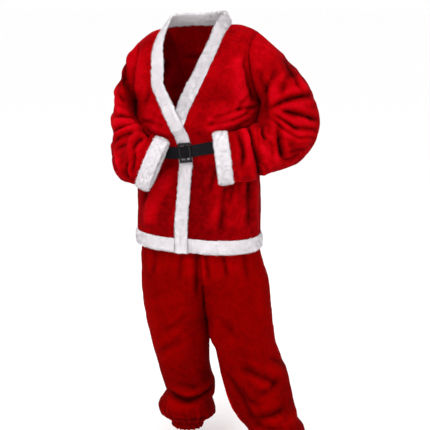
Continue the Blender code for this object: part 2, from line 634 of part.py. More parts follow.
JACKET_FOLDS_BACK = [
    (-0.120, 0.790, -0.080, 0.960, 0.006, 0.009, 0.020),
    (-0.050, 0.770, -0.030, 0.950, 0.0, -0.008, 0.018),
    (0.020, 0.780, 0.015, 0.965, 0.0, 0.008, 0.018),
    (0.090, 0.770, 0.070, 0.950, -0.006, -0.008, 0.018),
    (0.150, 0.790, 0.120, 0.960, 0.0, 0.009, 0.020),
    (-0.140, 1.095, 0.000, 1.120, -0.006, 0.010, 0.022),
    (0.010, 1.115, 0.150, 1.100, 0.006, 0.009, 0.022),
    (-0.155, 1.180, -0.110, 1.330, 0.010, -0.009, 0.018),
    (0.150, 1.190, 0.105, 1.340, -0.010, -0.009, 0.018),
]
LEFT_SLEEVE_FOLDS_FRONT = [
    (0.245, 1.165, 0.375, 1.205, 0.006, -0.0112, 0.0144),
    (0.250, 1.190, 0.360, 1.225, 0.006, 0.0072, 0.0192),
    (0.250, 1.140, 0.390, 1.150, -0.010, 0.0096, 0.0192),
    (0.252, 1.120, 0.385, 1.105, 0.008, -0.0096, 0.0144),
    (0.250, 1.100, 0.350, 1.050, 0.010, 0.0104, 0.0204),
    (0.238, 1.085, 0.300, 1.010, 0.006, -0.0104, 0.0144),
    (0.215, 1.120, 0.262, 1.000, 0.010, 0.0104, 0.0192),
    (0.195, 1.110, 0.232, 0.975, 0.008, -0.0104, 0.0132),
    (0.168, 1.115, 0.196, 0.960, 0.006, 0.0088, 0.0180),
    (0.142, 1.100, 0.160, 0.965, 0.004, -0.0080, 0.0120),
    (0.225, 1.240, 0.285, 1.310, 0.000, -0.0072, 0.0168),
    (0.285, 1.230, 0.320, 1.270, 0.000, 0.0064, 0.0192),
]
LEFT_SLEEVE_FOLDS_BACK = [
    (0.245, 1.220, 0.350, 1.250, 0.000, 0.0072, 0.0198),
    (0.245, 1.190, 0.375, 1.200, 0.000, -0.0088, 0.0154),
    (0.250, 1.155, 0.385, 1.150, 0.000, 0.0080, 0.0198),
    (0.255, 1.115, 0.380, 1.090, 0.000, -0.0088, 0.0154),
    (0.250, 1.080, 0.335, 1.030, 0.000, 0.0080, 0.0176),
]
RIGHT_SLEEVE_FOLDS_FRONT = [
    (-0.256, 1.335, -0.238, 1.160, -0.012, -0.0080, 0.0195),
    (-0.300, 1.200, -0.235, 1.130, 0.000, -0.0072, 0.0156),
    (-0.305, 1.160, -0.235, 1.150, 0.006, 0.0060, 0.0195),
    (-0.315, 1.105, -0.215, 1.105, 0.012, 0.0066, 0.0195),
    (-0.312, 1.085, -0.225, 1.075, 0.012, -0.0078, 0.0156),
    (-0.300, 1.060, -0.215, 1.080, 0.012, 0.0072, 0.0195),
    (-0.270, 0.985, -0.245, 1.070, 0.010, -0.0066, 0.0156),
    (-0.245, 0.965, -0.205, 1.080, 0.010, 0.0060, 0.0195),
    (-0.220, 0.955, -0.180, 1.080, 0.006, -0.0054, 0.0143),
]
RIGHT_SLEEVE_FOLDS_BACK = [
    (-0.300, 1.230, -0.240, 1.215, 0.000, 0.0063, 0.0198),
    (-0.310, 1.180, -0.235, 1.170, 0.000, -0.0077, 0.0154),
    (-0.315, 1.130, -0.240, 1.130, 0.000, 0.0070, 0.0198),
    (-0.310, 1.080, -0.240, 1.095, 0.000, -0.0077, 0.0154),
    (-0.300, 1.030, -0.240, 1.060, 0.000, 0.0063, 0.0176),
]
SLEEVE_FOLDS = (
    (LEFT_SLEEVE_FOLDS_FRONT, LEFT_SLEEVE_FOLDS_BACK),
    (RIGHT_SLEEVE_FOLDS_FRONT, RIGHT_SLEEVE_FOLDS_BACK),
)
TROUSER_FOLDS_FRONT = [
    (0.022, 0.700, 0.035, 0.560, 0.0, -0.010, 0.014),
    (0.045, 0.710, 0.060, 0.570, 0.0, 0.009, 0.016),
    (0.075, 0.700, 0.095, 0.580, 0.0, -0.008, 0.015),
    (0.105, 0.700, 0.120, 0.600, 0.0, 0.007, 0.016),
    (-0.012, 0.700, -0.010, 0.540, 0.0, -0.008, 0.012),
    (0.110, 0.330, 0.210, 0.270, 0.010, -0.010, 0.014),
    (0.150, 0.310, 0.270, 0.300, -0.010, 0.010, 0.018),
    (0.140, 0.255, 0.240, 0.215, 0.008, -0.011, 0.014),
    (0.170, 0.235, 0.300, 0.225, -0.008, 0.011, 0.018),
    (0.160, 0.190, 0.260, 0.160, 0.006, -0.011, 0.013),
    (0.200, 0.160, 0.320, 0.180, -0.006, 0.010, 0.016),
    (0.185, 0.120, 0.320, 0.125, 0.0, -0.009, 0.011),
    (-0.110, 0.205, -0.020, 0.180, -0.006, -0.012, 0.012),
    (-0.050, 0.185, 0.045, 0.215, -0.006, -0.010, 0.011),
    (-0.120, 0.160, 0.020, 0.150, 0.008, 0.009, 0.016),
    (-0.100, 0.118, 0.030, 0.115, 0.0, -0.008, 0.010),
    (-0.150, 0.330, -0.060, 0.390, 0.008, -0.005, 0.014),
]
TROUSER_FOLDS_BACK = [
    (-0.110, 0.690, -0.060, 0.560, 0.010, 0.009, 0.020),
    (0.110, 0.690, 0.060, 0.560, -0.010, 0.009, 0.020),
    (-0.150, 0.500, -0.040, 0.440, 0.010, -0.009, 0.018),
    (0.190, 0.480, 0.070, 0.430, -0.010, -0.009, 0.018),
    (-0.130, 0.330, -0.030, 0.300, 0.0, -0.009, 0.016),
    (-0.110, 0.230, 0.010, 0.215, 0.0, 0.009, 0.016),
    (-0.110, 0.180, 0.020, 0.175, 0.0, -0.010, 0.013),
    (0.130, 0.330, 0.240, 0.300, 0.0, -0.009, 0.016),
    (0.150, 0.250, 0.280, 0.240, 0.0, 0.009, 0.018),
    (0.160, 0.190, 0.300, 0.185, 0.0, -0.010, 0.014),
]
FRILL_WAVES = 14
FRILL_DEPTH = 0.0045


def calm_at_belt(height):
    """0 where the belt holds the jacket flat, 1 away from it."""
    return ease((np.abs(height - BELT_HEIGHT) - 0.030) / 0.035)


def build_jacket():
    """The red cloth of the jacket: two fronts, the back and two sleeves, with their shared normals."""
    left = front_panel(1, LEFT_EDGE, LEFT_NECK)
    right = front_panel(-1, RIGHT_EDGE, RIGHT_NECK)
    back = np.concatenate([back_half(1), back_half(-1)[:, ::-1][:, 1:]], axis=1)
    arms = {1: sleeve_rings(1, LEFT_SLEEVE), -1: sleeve_rings(-1, RIGHT_SLEEVE)}
    grids = [left, right, back, arms[1], arms[-1]]
    wraps = [False, False, False, True, True]
    groups = [0, 0, 0, 1, 2]

    def inside_of(grids):
        spine = [g * UP + BODY_CENTRE for g in grids[:3]]
        return spine + [np.broadcast_to(g.mean(1, keepdims=True), g.shape) for g in grids[3:]]

    normals = shared_normals(grids, inside_of(grids), wraps, groups)
    folded = []
    for k, (grid, normal) in enumerate(zip(grids, normals)):
        if k < 3:
            drawn = creased(grid, normal, JACKET_FOLDS_FRONT, JACKET_FOLDS_BACK)
            share = calm_at_belt(grid[..., 2])
            if k == 0:
                share = share * (1 - underlap_share(grid))
            if k == 1:
                sunk = ((drawn - grid) * normal).sum(-1) < 0
                share = share * np.where(sunk, ease((-0.100 - (grid - BODY_CENTRE) @ ACROSS) / 0.03), 1.0)
            hem = ease((grid[..., 2] - HEM - HEM_BAND) / 0.05)
            share = share * hem * edge_fade(grid)
        else:
            drawn = creased(grid, normal, *SLEEVE_FOLDS[k - 3])
            outward = normal[..., 0] * (1 if k == 3 else -1)
            share = sleeve_fade(grid.shape[0])[:, None] * ease((outward + 0.55) / 0.6)
        folded.append(grid + (drawn - grid) * share[..., None])
    normals = shared_normals(folded, inside_of(folded), wraps, groups)
    return folded, normals


def underlap_share(grid):
    """1 for the part of the left front that lies beneath the right front."""
    across = (grid - BODY_CENTRE) @ ACROSS
    height = np.minimum(grid[..., 2], UNDERARM)
    free = smooth(RIGHT_EDGE["height"], RIGHT_EDGE["across"], height) + TRIM_WIDTH
    return ease((free + 0.03 - across) / 0.03)


def edge_fade(grid):
    """Folds die out towards the armhole, the neck and the front edge, where seams hold the cloth."""
    rows, cols = grid.shape[:2]
    top = ease((rows - 1 - np.arange(rows)) / 3)
    high = grid[..., 2] > UNDERARM - 0.02
    column = np.arange(cols)
    last = cols - 1
    ends = ease(np.minimum(column, last - column) / 2.0)
    return np.where(high, top[:, None] * ends[None], 1.0)


def sleeve_fade(rows):
    row = np.arange(rows)
    return ease(row / 4) * ease((rows - 1 - row) / 2)


def build_trousers():
    """Four leg panels and their shared normals: left front, left back, right front, right back."""
    made = [leg_panel(side, facing) for side in (1, -1) for facing in (-1, 1)]
    grids = [grid for grid, _ in made]

    def inside_of(grids):
        points = []
        for grid, (_, rows) in zip(grids, made):
            middle_x = (rows["side_x"] + rows["inner_x"]) / 2
            middle_y = (rows["side_y"] + rows["inner_y"]) / 2
            middle = np.stack([middle_x, middle_y, rows["height"]], -1)
            points.append(np.broadcast_to(middle[:, None], grid.shape))
        return points

    wraps = [False] * 4
    groups = [0] * 4
    normals = shared_normals(grids, inside_of(grids), wraps, groups)
    folded = []
    for grid, normal, (_, rows) in zip(grids, normals, made):
        ends = [rows["side_x"][0] + rows["inner_x"][0], rows["side_y"][0] + rows["inner_y"][0], 0.0]
        middle = np.array(ends) / 2
        drawn = creased(grid, normal, TROUSER_FOLDS_FRONT, TROUSER_FOLDS_BACK)
        height = grid[..., 2]
        share = ease((0.74 - height) / 0.06)
        inner = np.abs(np.arange(grid.shape[1]) - (grid.shape[1] - 1))
        near_seam = np.where(height < CROTCH + 0.12, ease(inner / 2.0), 1.0)
        row = np.arange(grid.shape[0])[:, None]
        share = share * near_seam * ease((row - 2) / 2)
        grid = grid + (drawn - grid) * share[..., None]
        off = grid[0] - middle
        around = np.arctan2(off[:, 1], off[:, 0])
        wave = FRILL_DEPTH * np.cos(FRILL_WAVES * around) * np.clip(1 - row / 2, 0, 1)
        folded.append(grid + normal * wave[..., None])
    normals = shared_normals(folded, inside_of(folded), wraps, groups)
    return folded, normals


# Trims: profiles of (out from the seam, off the cloth), round the section
G = SEAM_GAP / 2
BAND_PROFILE = [
    (G, WALL / 2), (0.006, 0.0050), (0.018, 0.0062), (0.032, 0.0058), (0.041, 0.0036),
    (TRIM_WIDTH, 0.0004), (0.041, -0.0026), (0.024, -0.0030), (G, -WALL / 2),
]
HEM_PROFILE = [
    (G, WALL / 2), (0.006, 0.0058), (0.022, 0.0072), (0.038, 0.0064),
    (HEM_BAND, 0.0006), (0.043, -0.0039), (0.022, -0.0041), (G, -WALL / 2),
]
CUFF_PROFILE = [
    (G, WALL / 2), (0.006, 0.0060), (0.021, 0.0074), (0.039, 0.0064),
    (CUFF_WIDTH, 0.0006), (0.043, -0.0038), (0.022, -0.0040), (G, -WALL / 2),
]
WAIST_PROFILE = [
    (G, WALL / 2), (0.006, 0.0034), (WAISTBAND, 0.0034), (WAISTBAND, -0.0024), (0.006, -0.0024),
    (G, -WALL / 2),
]
HIDDEN_LOFT = 0.20  # fur pressed flat where the right front covers it


def edge_frame(edge, beside, normals):
    """Directions out of a panel's edge, square to the edge and to the normals there."""
    tangent = unit(np.gradient(edge, axis=0))
    outward = np.cross(tangent, normals)
    sign = np.sign((outward * (edge - beside)).sum(-1, keepdims=True))
    return unit(outward) * sign


def settle(vectors, passes):
    """Directions evened out along their line, with the two ends kept."""
    for _ in range(passes):
        middle = (vectors[:-2] + 2 * vectors[1:-1] + vectors[2:]) / 4
        vectors = np.vstack([vectors[:1], middle, vectors[-1:]])
    return unit(vectors)


def fall_away(side, edge, heights):
    """How far the body falls away from a straight band by the band's far edge, at each height."""
    heights = np.minimum(heights, UNDERARM)
    across = smooth(edge["height"], edge["across"], heights)
    near = angle_at(across, heights)
    far = angle_at(across - side * TRIM_WIDTH, heights)
    step = 0.01
    tangent = unit(body_ring(near + step, heights) - body_ring(near - step, heights))
    out = unit(np.cross(UP, tangent))
    out *= np.sign((out * FORWARD).sum(-1, keepdims=True))
    drop = ((body_ring(near, heights) - body_ring(far, heights)) * out).sum(-1)
    return np.maximum(drop, 0.0)


def front_band(name, side, panel, normals, back, back_normals, edge):
    """The fur band of one side: up the front edge, round the neck and on to the centre back."""
    half = back.shape[1] // 2
    neck = slice(FRONT_COLUMNS + 1, half + 1)
    if side < 0:
        neck = slice(half, back.shape[1] - FRONT_COLUMNS - 1)
    top, top_normals, top_beside = back[-1, neck], back_normals[-1, neck], back[-2, neck]
    if side < 0:
        top, top_normals, top_beside = top[::-1], top_normals[::-1], top_beside[::-1]
    seam = np.vstack([panel[:, -1], top])
    cloth_normal = np.vstack([normals[:, -1], top_normals])
    rows = len(panel)
    beside = np.vstack([panel[:, -2], top_beside])
    cloth_out = np.vstack([
        edge_frame(seam[:rows], beside[:rows], cloth_normal[:rows]),
        edge_frame(seam[rows - 1 :], beside[rows - 1 :], cloth_normal[rows - 1 :])[1:],
    ])
    climb = ease((seam[:, 2] - 1.26) / 0.16)[:, None]
    outward = settle(cloth_out + climb * (0.95 * UP), 3)
    middle_line = unit(ACROSS + smooth(BODY["height"], BODY["lean"], seam[-1, 2]) * UP)
    outward[-1] = unit(outward[-1] - (outward[-1] @ middle_line) * middle_line)
    cloth_normal[-1] = unit(cloth_normal[-1] - (cloth_normal[-1] @ middle_line) * middle_line)
    cloth_out[-1] = unit(cloth_out[-1] - (cloth_out[-1] @ middle_line) * middle_line)
    normal = unit(cloth_normal - (cloth_normal * outward).sum(-1, keepdims=True) * outward)
    height = seam[:, 2]
    sideways = (outward @ ACROSS) ** 2
    bend = fall_away(side, edge, height) * sideways * ease((1.30 - height) / 0.10)
    loft = 1 - (1 - HIDDEN_LOFT) * ease((1.165 - height) / 0.04) if side > 0 else 1.0
    root = (cloth_out, cloth_normal)
    return sweep(name, seam, outward, normal, BAND_PROFILE, WHITE_FUR, root, loft, bend)


def build_hem_band(left, right, back, normals):
    """One strip of fur along the hem, from the left front's band round the back to the right front's."""
    n_left, n_right, n_back = normals
    row = HEM_SEAM_ROW
    seam = np.vstack([left[row][::-1], back[row][1:-1], right[row]])
    normal = np.vstack([n_left[row][::-1], n_back[row][1:-1], n_right[row]])
    bottom = np.vstack([left[0][::-1], back[0][1:-1], right[0]])
    outward = unit(bottom - seam)
    root_normal = normal
    normal = unit(normal - (normal * outward).sum(-1, keepdims=True) * outward)
    across, forward = (seam - BODY_CENTRE) @ ACROSS, (seam - BODY_CENTRE) @ FORWARD
    order = np.arange(len(seam)) < len(left[row])
    hidden = ease((TRIM_WIDTH - 0.040 + 0.030 - across) / 0.030) * (forward > 0) * order
    loft = 1 - (1 - HIDDEN_LOFT) * hidden
    tangent = unit(np.gradient(seam, axis=0))
    root_out = np.cross(tangent, root_normal)
    root_out = unit(root_out) * np.sign((root_out * outward).sum(-1, keepdims=True))
    return sweep("hem_band", seam, outward, normal, HEM_PROFILE, WHITE_FUR, (root_out, root_normal), loft)


def build_cuff(name, rings, normals):
    """A fur cuff, a ring that carries on in the direction that the last ring of the sleeve faces."""
    seam = rings[-1]
    middle = seam.mean(0)
    around = seam - middle
    axis = unit(np.cross(around, np.roll(around, -1, axis=0)).sum(0))
    axis = axis * np.sign(axis @ (middle - rings[-4].mean(0)))
    outward = np.broadcast_to(axis, seam.shape)
    normal = unit(around - (around * outward).sum(-1, keepdims=True) * outward)
    along = unit(np.roll(seam, -1, axis=0) - np.roll(seam, 1, axis=0))
    root_out = np.cross(along, normals[-1])
    root_out = unit(root_out) * np.sign((root_out * outward).sum(-1, keepdims=True))
    return sweep(name, seam, outward, normal, CUFF_PROFILE, WHITE_FUR, (root_out, normals[-1]), closed=True)


# Belt and buckle
BELT_STATIONS = 56
BUCKLE_ACROSS = -0.005
BUCKLE_TILT = math.radians(6.5)
BELT_RISE = 0.015  # the strap is higher on the wearer's left of the buckle
BUCKLE_FRAME = (0.041, 0.065)  # outer width and height
BUCKLE_WINDOW = (0.028, 0.0482)
SIDE_BAR_DEPTH = 0.0042
CENTRE_BAR = (0.006, 0.0026)  # width and depth
STRAP_CLEARANCE = 0.0004
BELT_OFF_CLOTH = WALL / 2 + 0.0014
BELT_OFF_FUR = 0.0062 + 0.0012


def belt_line():
    """The strap's inner line round the waist: out over the front fur, then flat through the buckle."""
    angle = np.linspace(-math.pi, math.pi, BELT_STATIONS, endpoint=False)
    line = body_ring(angle, np.full(BELT_STATIONS, BELT_HEIGHT))
    tangent = unit(np.roll(line, -1, axis=0) - np.roll(line, 1, axis=0))
    normal = unit(np.cross(tangent, UP))
    normal *= np.sign((normal * (line - BODY_CENTRE)).sum(-1, keepdims=True))
    across = (line - BODY_CENTRE) @ ACROSS
    front = ease(((line - BODY_CENTRE) @ FORWARD) / 0.05)
    line = line + UP * (BELT_RISE * front * ease((across + 0.040) / 0.15))[:, None]
    near = front * ease((0.110 - np.abs(across - BUCKLE_ACROSS)) / 0.045)
    line = line + normal * (BELT_OFF_CLOTH + (BELT_OFF_FUR - BELT_OFF_CLOTH) * near)[:, None]
    middle, face = buckle_frame_axes()
    room = CENTRE_BAR[1] + 2 * STRAP_CLEARANCE
    flat = line + face * ((middle - line) @ face)[:, None] + face * room
    share = front * ease((0.068 - np.abs(across - BUCKLE_ACROSS)) / 0.026)
    line = line + (flat - line) * share[:, None]
    normal = unit(normal + (face - normal) * share[:, None])
    return line, normal


def buckle_frame_axes():
    """The point of the belt line behind the buckle, out from the fur, and the way that the buckle faces."""
    height = np.array(BELT_HEIGHT)
    angle = angle_at(np.array(BUCKLE_ACROSS), height)
    here = body_ring(angle, height)
    step = 0.02
    tangent = unit(body_ring(angle + step, height) - body_ring(angle - step, height))
    face = unit(np.cross(UP, tangent))
    face = face * np.sign(face @ FORWARD)
    return here + face * BELT_OFF_FUR, face


def build_belt():
    line, normal = belt_line()
    upward = np.broadcast_to(UP, line.shape)
    half = BELT_WIDTH / 2
    profile = [(-half, 0.0), (-half, BELT_THICKNESS), (half, BELT_THICKNESS), (half, 0.0)]
    return sweep("belt_strap", line, upward, normal, profile, BLACK_WEBBING, closed=True)


def filled_cells(breaks, filled):
    """The closed surface round the filled cells of a grid of boxes.
    breaks are the places of the cell walls along each axis, filled tells which cells are solid."""
    points, faces = {}, []
    padded = np.pad(filled, 1)

    def corner(key):
        return points.setdefault(key, len(points))

    for cell in np.argwhere(filled):
        for axis in range(3):
            for side in (0, 1):
                beside = cell + 1
                beside[axis] += 2 * side - 1
                if padded[tuple(beside)]:
                    continue
                others = [k for k in range(3) if k != axis]
                face = []
                for a, b in ((0, 0), (1, 0), (1, 1), (0, 1)):
                    key = list(cell)
                    key[axis] += side
                    key[others[0]] += a
                    key[others[1]] += b
                    face.append(corner(tuple(key)))
                faces.append(face)
    places = np.array([[breaks[k][key[k]] for k in range(3)] for key in points])
    return places, faces


def build_buckle():
    """A slide buckle: side bars in front of the strap, a bar across its middle behind it, and rails
    that join them above and below."""
    middle, face = buckle_frame_axes()
    across = unit(np.cross(face, UP))
    across = across * np.sign(across @ ACROSS)
    wide = across * math.cos(BUCKLE_TILT) + UP * math.sin(BUCKLE_TILT)
    tall = UP * math.cos(BUCKLE_TILT) - across * math.sin(BUCKLE_TILT)
    bar_front = CENTRE_BAR[1] + STRAP_CLEARANCE
    strap_front = bar_front + 2 * STRAP_CLEARANCE + BELT_THICKNESS
    half_w, half_h = BUCKLE_FRAME[0] / 2, BUCKLE_FRAME[1] / 2
    in_w, in_h = BUCKLE_WINDOW[0] / 2, BUCKLE_WINDOW[1] / 2
    half_bar = CENTRE_BAR[0] / 2
    breaks = (
        (-half_w, -in_w, -half_bar, half_bar, in_w, half_w),
        (-half_h, -in_h, in_h, half_h),
        (STRAP_CLEARANCE, bar_front, strap_front, strap_front + SIDE_BAR_DEPTH),
    )
    filled = np.zeros((5, 3, 3), bool)
    filled[:, [0, 2], :] = True  # rails
    filled[2, 1, 0] = True  # the bar behind the strap
    filled[[0, 4], 1, 2] = True  # side bars
    places, faces = filled_cells(breaks, filled)
    points = middle + places @ np.array([wide, tall, face])
    frame = new_object("buckle", points, faces, BLACK_PLASTIC)
    rounding = frame.modifiers.new("rounding", "BEVEL")
    rounding.width = 0.0011
    rounding.segments = 2
    rounding.limit_method = "ANGLE"


def build_waistband(panels, normals):
    """The elastic casing on top of the trousers, a closed ring."""
    left_front, left_back, right_front, right_back = (p[-1] for p in panels)
    loop = np.vstack([left_front[::-1], left_back[1:], right_back[::-1][1:], right_front[1:-1]])
    left_front, left_back, right_front, right_back = (n[-1] for n in normals)
    cloth = np.vstack([left_front[::-1], left_back[1:], right_back[::-1][1:], right_front[1:-1]])
    outward = unit((loop - loop.mean(0)) * np.array([1, 1, 0]))
    upward = np.broadcast_to(UP, loop.shape)
    along = unit(np.roll(loop, -1, axis=0) - np.roll(loop, 1, axis=0))
    root_out = np.cross(along, cloth)
    root_out = unit(root_out) * np.sign(root_out[:, 2:])
    root = (root_out, cloth)
    cloth = RED_TROUSER_PLUSH
    return sweep("trouser_waistband", loop, upward, outward, WAIST_PROFILE, cloth, root, closed=True)


(left, right, back, left_arm, right_arm), jacket_normals = build_jacket()
n_left, n_right, n_back, n_left_arm, n_right_arm = jacket_normals
seam_row = HEM_SEAM_ROW
wall("jacket_front_left", left[seam_row:], n_left[seam_row:], RED_PLUSH)
wall("jacket_front_right", right[seam_row:], n_right[seam_row:], RED_PLUSH)
wall("jacket_back", back[seam_row:], n_back[seam_row:], RED_PLUSH)
wall("sleeve_left", left_arm, n_left_arm, RED_PLUSH, wrap=True)
wall("sleeve_right", right_arm, n_right_arm, RED_PLUSH, wrap=True)
front_band("front_band_left", 1, left, n_left, back, n_back, LEFT_EDGE)
front_band("front_band_right", -1, right, n_right, back, n_back, RIGHT_EDGE)
build_hem_band(left, right, back, (n_left, n_right, n_back))
build_cuff("cuff_left", left_arm, n_left_arm)
build_cuff("cuff_right", right_arm, n_right_arm)
build_belt()
build_buckle()

trousers, trouser_normals = build_trousers()
names = ("trouser_front_left", "trouser_back_left", "trouser_front_right", "trouser_back_right")
for name, grid, normal in zip(names, trousers, trouser_normals):
    wall(name, grid, normal, RED_TROUSER_PLUSH)
build_waistband(trousers, trouser_normals)
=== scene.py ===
"""Looks of the santa suit: plush cloth, white fur trims, a webbing belt and the light they are seen in.

Metres, +Z up, the suit faces -Y. Heights in the tables are above the floor the wearer stands on, and
left and right are the wearer's: the left side is at +X.
"""

import math

import bpy
import numpy as np
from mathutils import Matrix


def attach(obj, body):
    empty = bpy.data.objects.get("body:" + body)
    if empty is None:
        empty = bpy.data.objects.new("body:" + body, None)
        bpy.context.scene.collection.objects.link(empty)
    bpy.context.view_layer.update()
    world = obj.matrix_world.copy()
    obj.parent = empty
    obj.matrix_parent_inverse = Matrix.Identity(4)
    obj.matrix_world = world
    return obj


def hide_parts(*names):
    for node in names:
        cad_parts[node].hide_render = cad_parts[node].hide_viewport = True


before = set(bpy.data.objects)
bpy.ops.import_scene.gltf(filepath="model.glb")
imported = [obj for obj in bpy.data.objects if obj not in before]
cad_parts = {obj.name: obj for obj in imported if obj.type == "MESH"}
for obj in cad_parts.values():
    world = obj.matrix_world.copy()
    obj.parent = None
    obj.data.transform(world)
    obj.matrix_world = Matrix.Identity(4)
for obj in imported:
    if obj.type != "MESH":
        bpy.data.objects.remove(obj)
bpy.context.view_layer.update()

# Studio
# A pale floor, one broad soft light from the front and above, a weaker one from the other side and a
# third from behind, and an even pale surround. The camera stands 3.3 m off, a little above the chest.
FLOOR = -1.44

camera = bpy.data.objects.new("camera", bpy.data.cameras.new("camera"))
camera.location = (0.05, -3.3, 0.06)
camera.rotation_euler = (math.radians(78.0), 0.0, 0.0)
camera.data.sensor_width = 36.0
camera.data.lens = 82.05
bpy.context.scene.collection.objects.link(camera)
bpy.context.scene.camera = camera
bpy.context.scene.view_settings.view_transform = "Standard"
bpy.context.scene.view_settings.look = "None"

LIGHTS = [
    # name, place, aimed at, size, watts
    ("key", (-1.7, -3.2, 1.9), (0.0, 0.0, -0.35), 1.8, 48.0),
    ("fill", (2.6, -2.6, 0.7), (0.0, 0.0, -0.5), 2.4, 10.0),
    ("top", (0.3, -0.6, 2.6), (0.0, -0.2, -0.4), 2.2, 13.0),
    ("back_left", (1.8, 2.6, 1.4), (0.0, 0.0, -0.4), 2.0, 14.0),
    ("back_right", (-1.8, 2.6, 1.4), (0.0, 0.0, -0.4), 2.0, 14.0),
]
for name, place, aim, size, watts in LIGHTS:
    lamp = bpy.data.lights.new(name, "AREA")
    lamp.shape = "DISK"
    lamp.size = size
    lamp.energy = watts
    holder = bpy.data.objects.new(name, lamp)
    holder.location = place
    away = np.array(place) - np.array(aim)
    turn = math.atan2(away[0], -away[1])
    lift = math.atan2(math.hypot(away[0], away[1]), away[2])
    holder.rotation_euler = (lift, 0.0, turn)
    bpy.context.scene.collection.objects.link(holder)

surround = bpy.data.worlds.new("surround")
surround.use_nodes = True
surround.node_tree.nodes["Background"].inputs["Color"].default_value = (1.0, 0.995, 0.995, 1.0)
surround.node_tree.nodes["Background"].inputs["Strength"].default_value = 1.0
bpy.context.scene.world = surround



def new_material(name):
    """A new material, its node tree and its shader."""
    material = bpy.data.materials.new(name)
    material.use_nodes = True
    return material, material.node_tree, material.node_tree.nodes["Principled BSDF"]


floor_paint, _, floor_shader = new_material("floor_paint")
floor_shader.inputs["Base Color"].default_value = (0.995, 0.995, 0.995, 1)
floor_shader.inputs["Roughness"].default_value = 0.9
floor_mesh = bpy.data.meshes.new("floor")
reach = 300.0
corners = [(-reach, -reach, FLOOR), (reach, -reach, FLOOR), (reach, reach, FLOOR), (-reach, reach, FLOOR)]
floor_mesh.from_pydata(corners, [], [(0, 1, 2, 3)])
floor_mesh.materials.append(floor_paint)
floor = bpy.data.objects.new("floor", floor_mesh)
bpy.context.scene.collection.objects.link(floor)

# Jacket body
# Two fronts and a back of short-pile red plush, sewn at the sides and shoulders. They hang loose over
# the hips, are drawn in by the belt and blouse over it. The chest is turned to the wearer's right.
HELD_AT = 1.44  # height of the base of the neck
HEM = 0.700
HEM_FUR = 0.048
UNDERARM = 1.20
BELT_AT = 1.035
CLOTH = 0.0026  # thickness
CHEST_TURN = math.radians(15)
BODY_CENTRE = np.array([-0.005, 0.0, 0.0])
SQUARENESS = 2.3  # exponent of the body's rings: 2 is an ellipse
ACROSS = np.array([math.cos(CHEST_TURN), -math.sin(CHEST_TURN), 0.0])
FORWARD = np.array([-math.sin(CHEST_TURN), -math.cos(CHEST_TURN), 0.0])
UP = np.array([0.0, 0.0, 1.0])


def table(columns, rows):
    """Named columns of a list of rows."""
    values = np.array(rows, float)
    return {name: values[:, i] for i, name in enumerate(columns.split())}


BODY = table(
    "height half_width front back lean",
    [
        (HEM, 0.2145, 0.158, 0.155, -0.025),
        (0.76, 0.2120, 0.154, 0.152, -0.025),
        (0.86, 0.2110, 0.148, 0.150, 0.00),
        (0.95, 0.2060, 0.142, 0.142, 0.03),
        (1.004, 0.1970, 0.132, 0.130, 0.055),
        (1.074, 0.1970, 0.132, 0.130, 0.055),
        (1.116, 0.2050, 0.147, 0.141, 0.055),
        (1.150, 0.2090, 0.149, 0.146, 0.055),
        (UNDERARM, 0.2050, 0.143, 0.146, 0.055),
        (1.60, 0.2050, 0.143, 0.146, 0.055),
    ],
)
# Where each front's cloth ends at its fur, as the distance across from the centre front
RIGHT_EDGE = table(
    "height across",
    [(HEM, -0.040), (0.79, -0.040), (0.87, -0.035), (1.00, -0.028), (1.045, -0.030), (1.077, -0.040)]
    + [(1.110, -0.052), (1.142, -0.069), (1.174, -0.085), (UNDERARM, -0.099)],
)
LEFT_EDGE = table(
    "height across",
    [(HEM, -0.034), (0.95, -0.034), (1.05, -0.032), (1.10, -0.020), (1.142, -0.005), (1.174, 0.008)]
    + [(UNDERARM, 0.021)],
)
NECK_POINT = (0.112, 0.0, 1.437)  # where the left shoulder seam meets the neck
NECK_SHARES = (0.0, 0.28, 0.55, 0.8, 1.0)
RIGHT_NECK = [(-0.123, 0.124, 1.268), (-0.131, 0.098, 1.345), (-0.124, 0.055, 1.408), (-0.112, 0.0, 1.437)]
LEFT_NECK = [(0.058, 0.138, 1.272), (0.088, 0.108, 1.348), (0.106, 0.062, 1.410), NECK_POINT]
SHOULDER_TIPS = {1: (0.205, 0.0, 1.406), -1: (-0.205, 0.0, 1.397)}
BACK_NECK = (0.0, -0.082, 1.440)
BACK_NECK_CURVE = (NECK_POINT, (0.108, -0.050, 1.445), (0.050, -0.082, 1.443), BACK_NECK)
SPINE = ((0.0, -0.146, UNDERARM), (0.0, -0.150, 1.29), (0.0, -0.125, 1.40), BACK_NECK)
ARMHOLE_FRONT = ((0.203, 0.080, 1.236), (0.168, 0.112, 1.380))
ARMHOLE_BACK = ((0.205, -0.080, 1.236), (0.178, -0.112, 1.384))
FUR_WIDTH = 0.044
UNDERLAP = 0.0095  # how far the left front lies behind the right one
LOWER_ROWS = 96
UPPER_ROWS = 52
FRONT_COLUMNS = 52
NECK_COLUMNS = 16


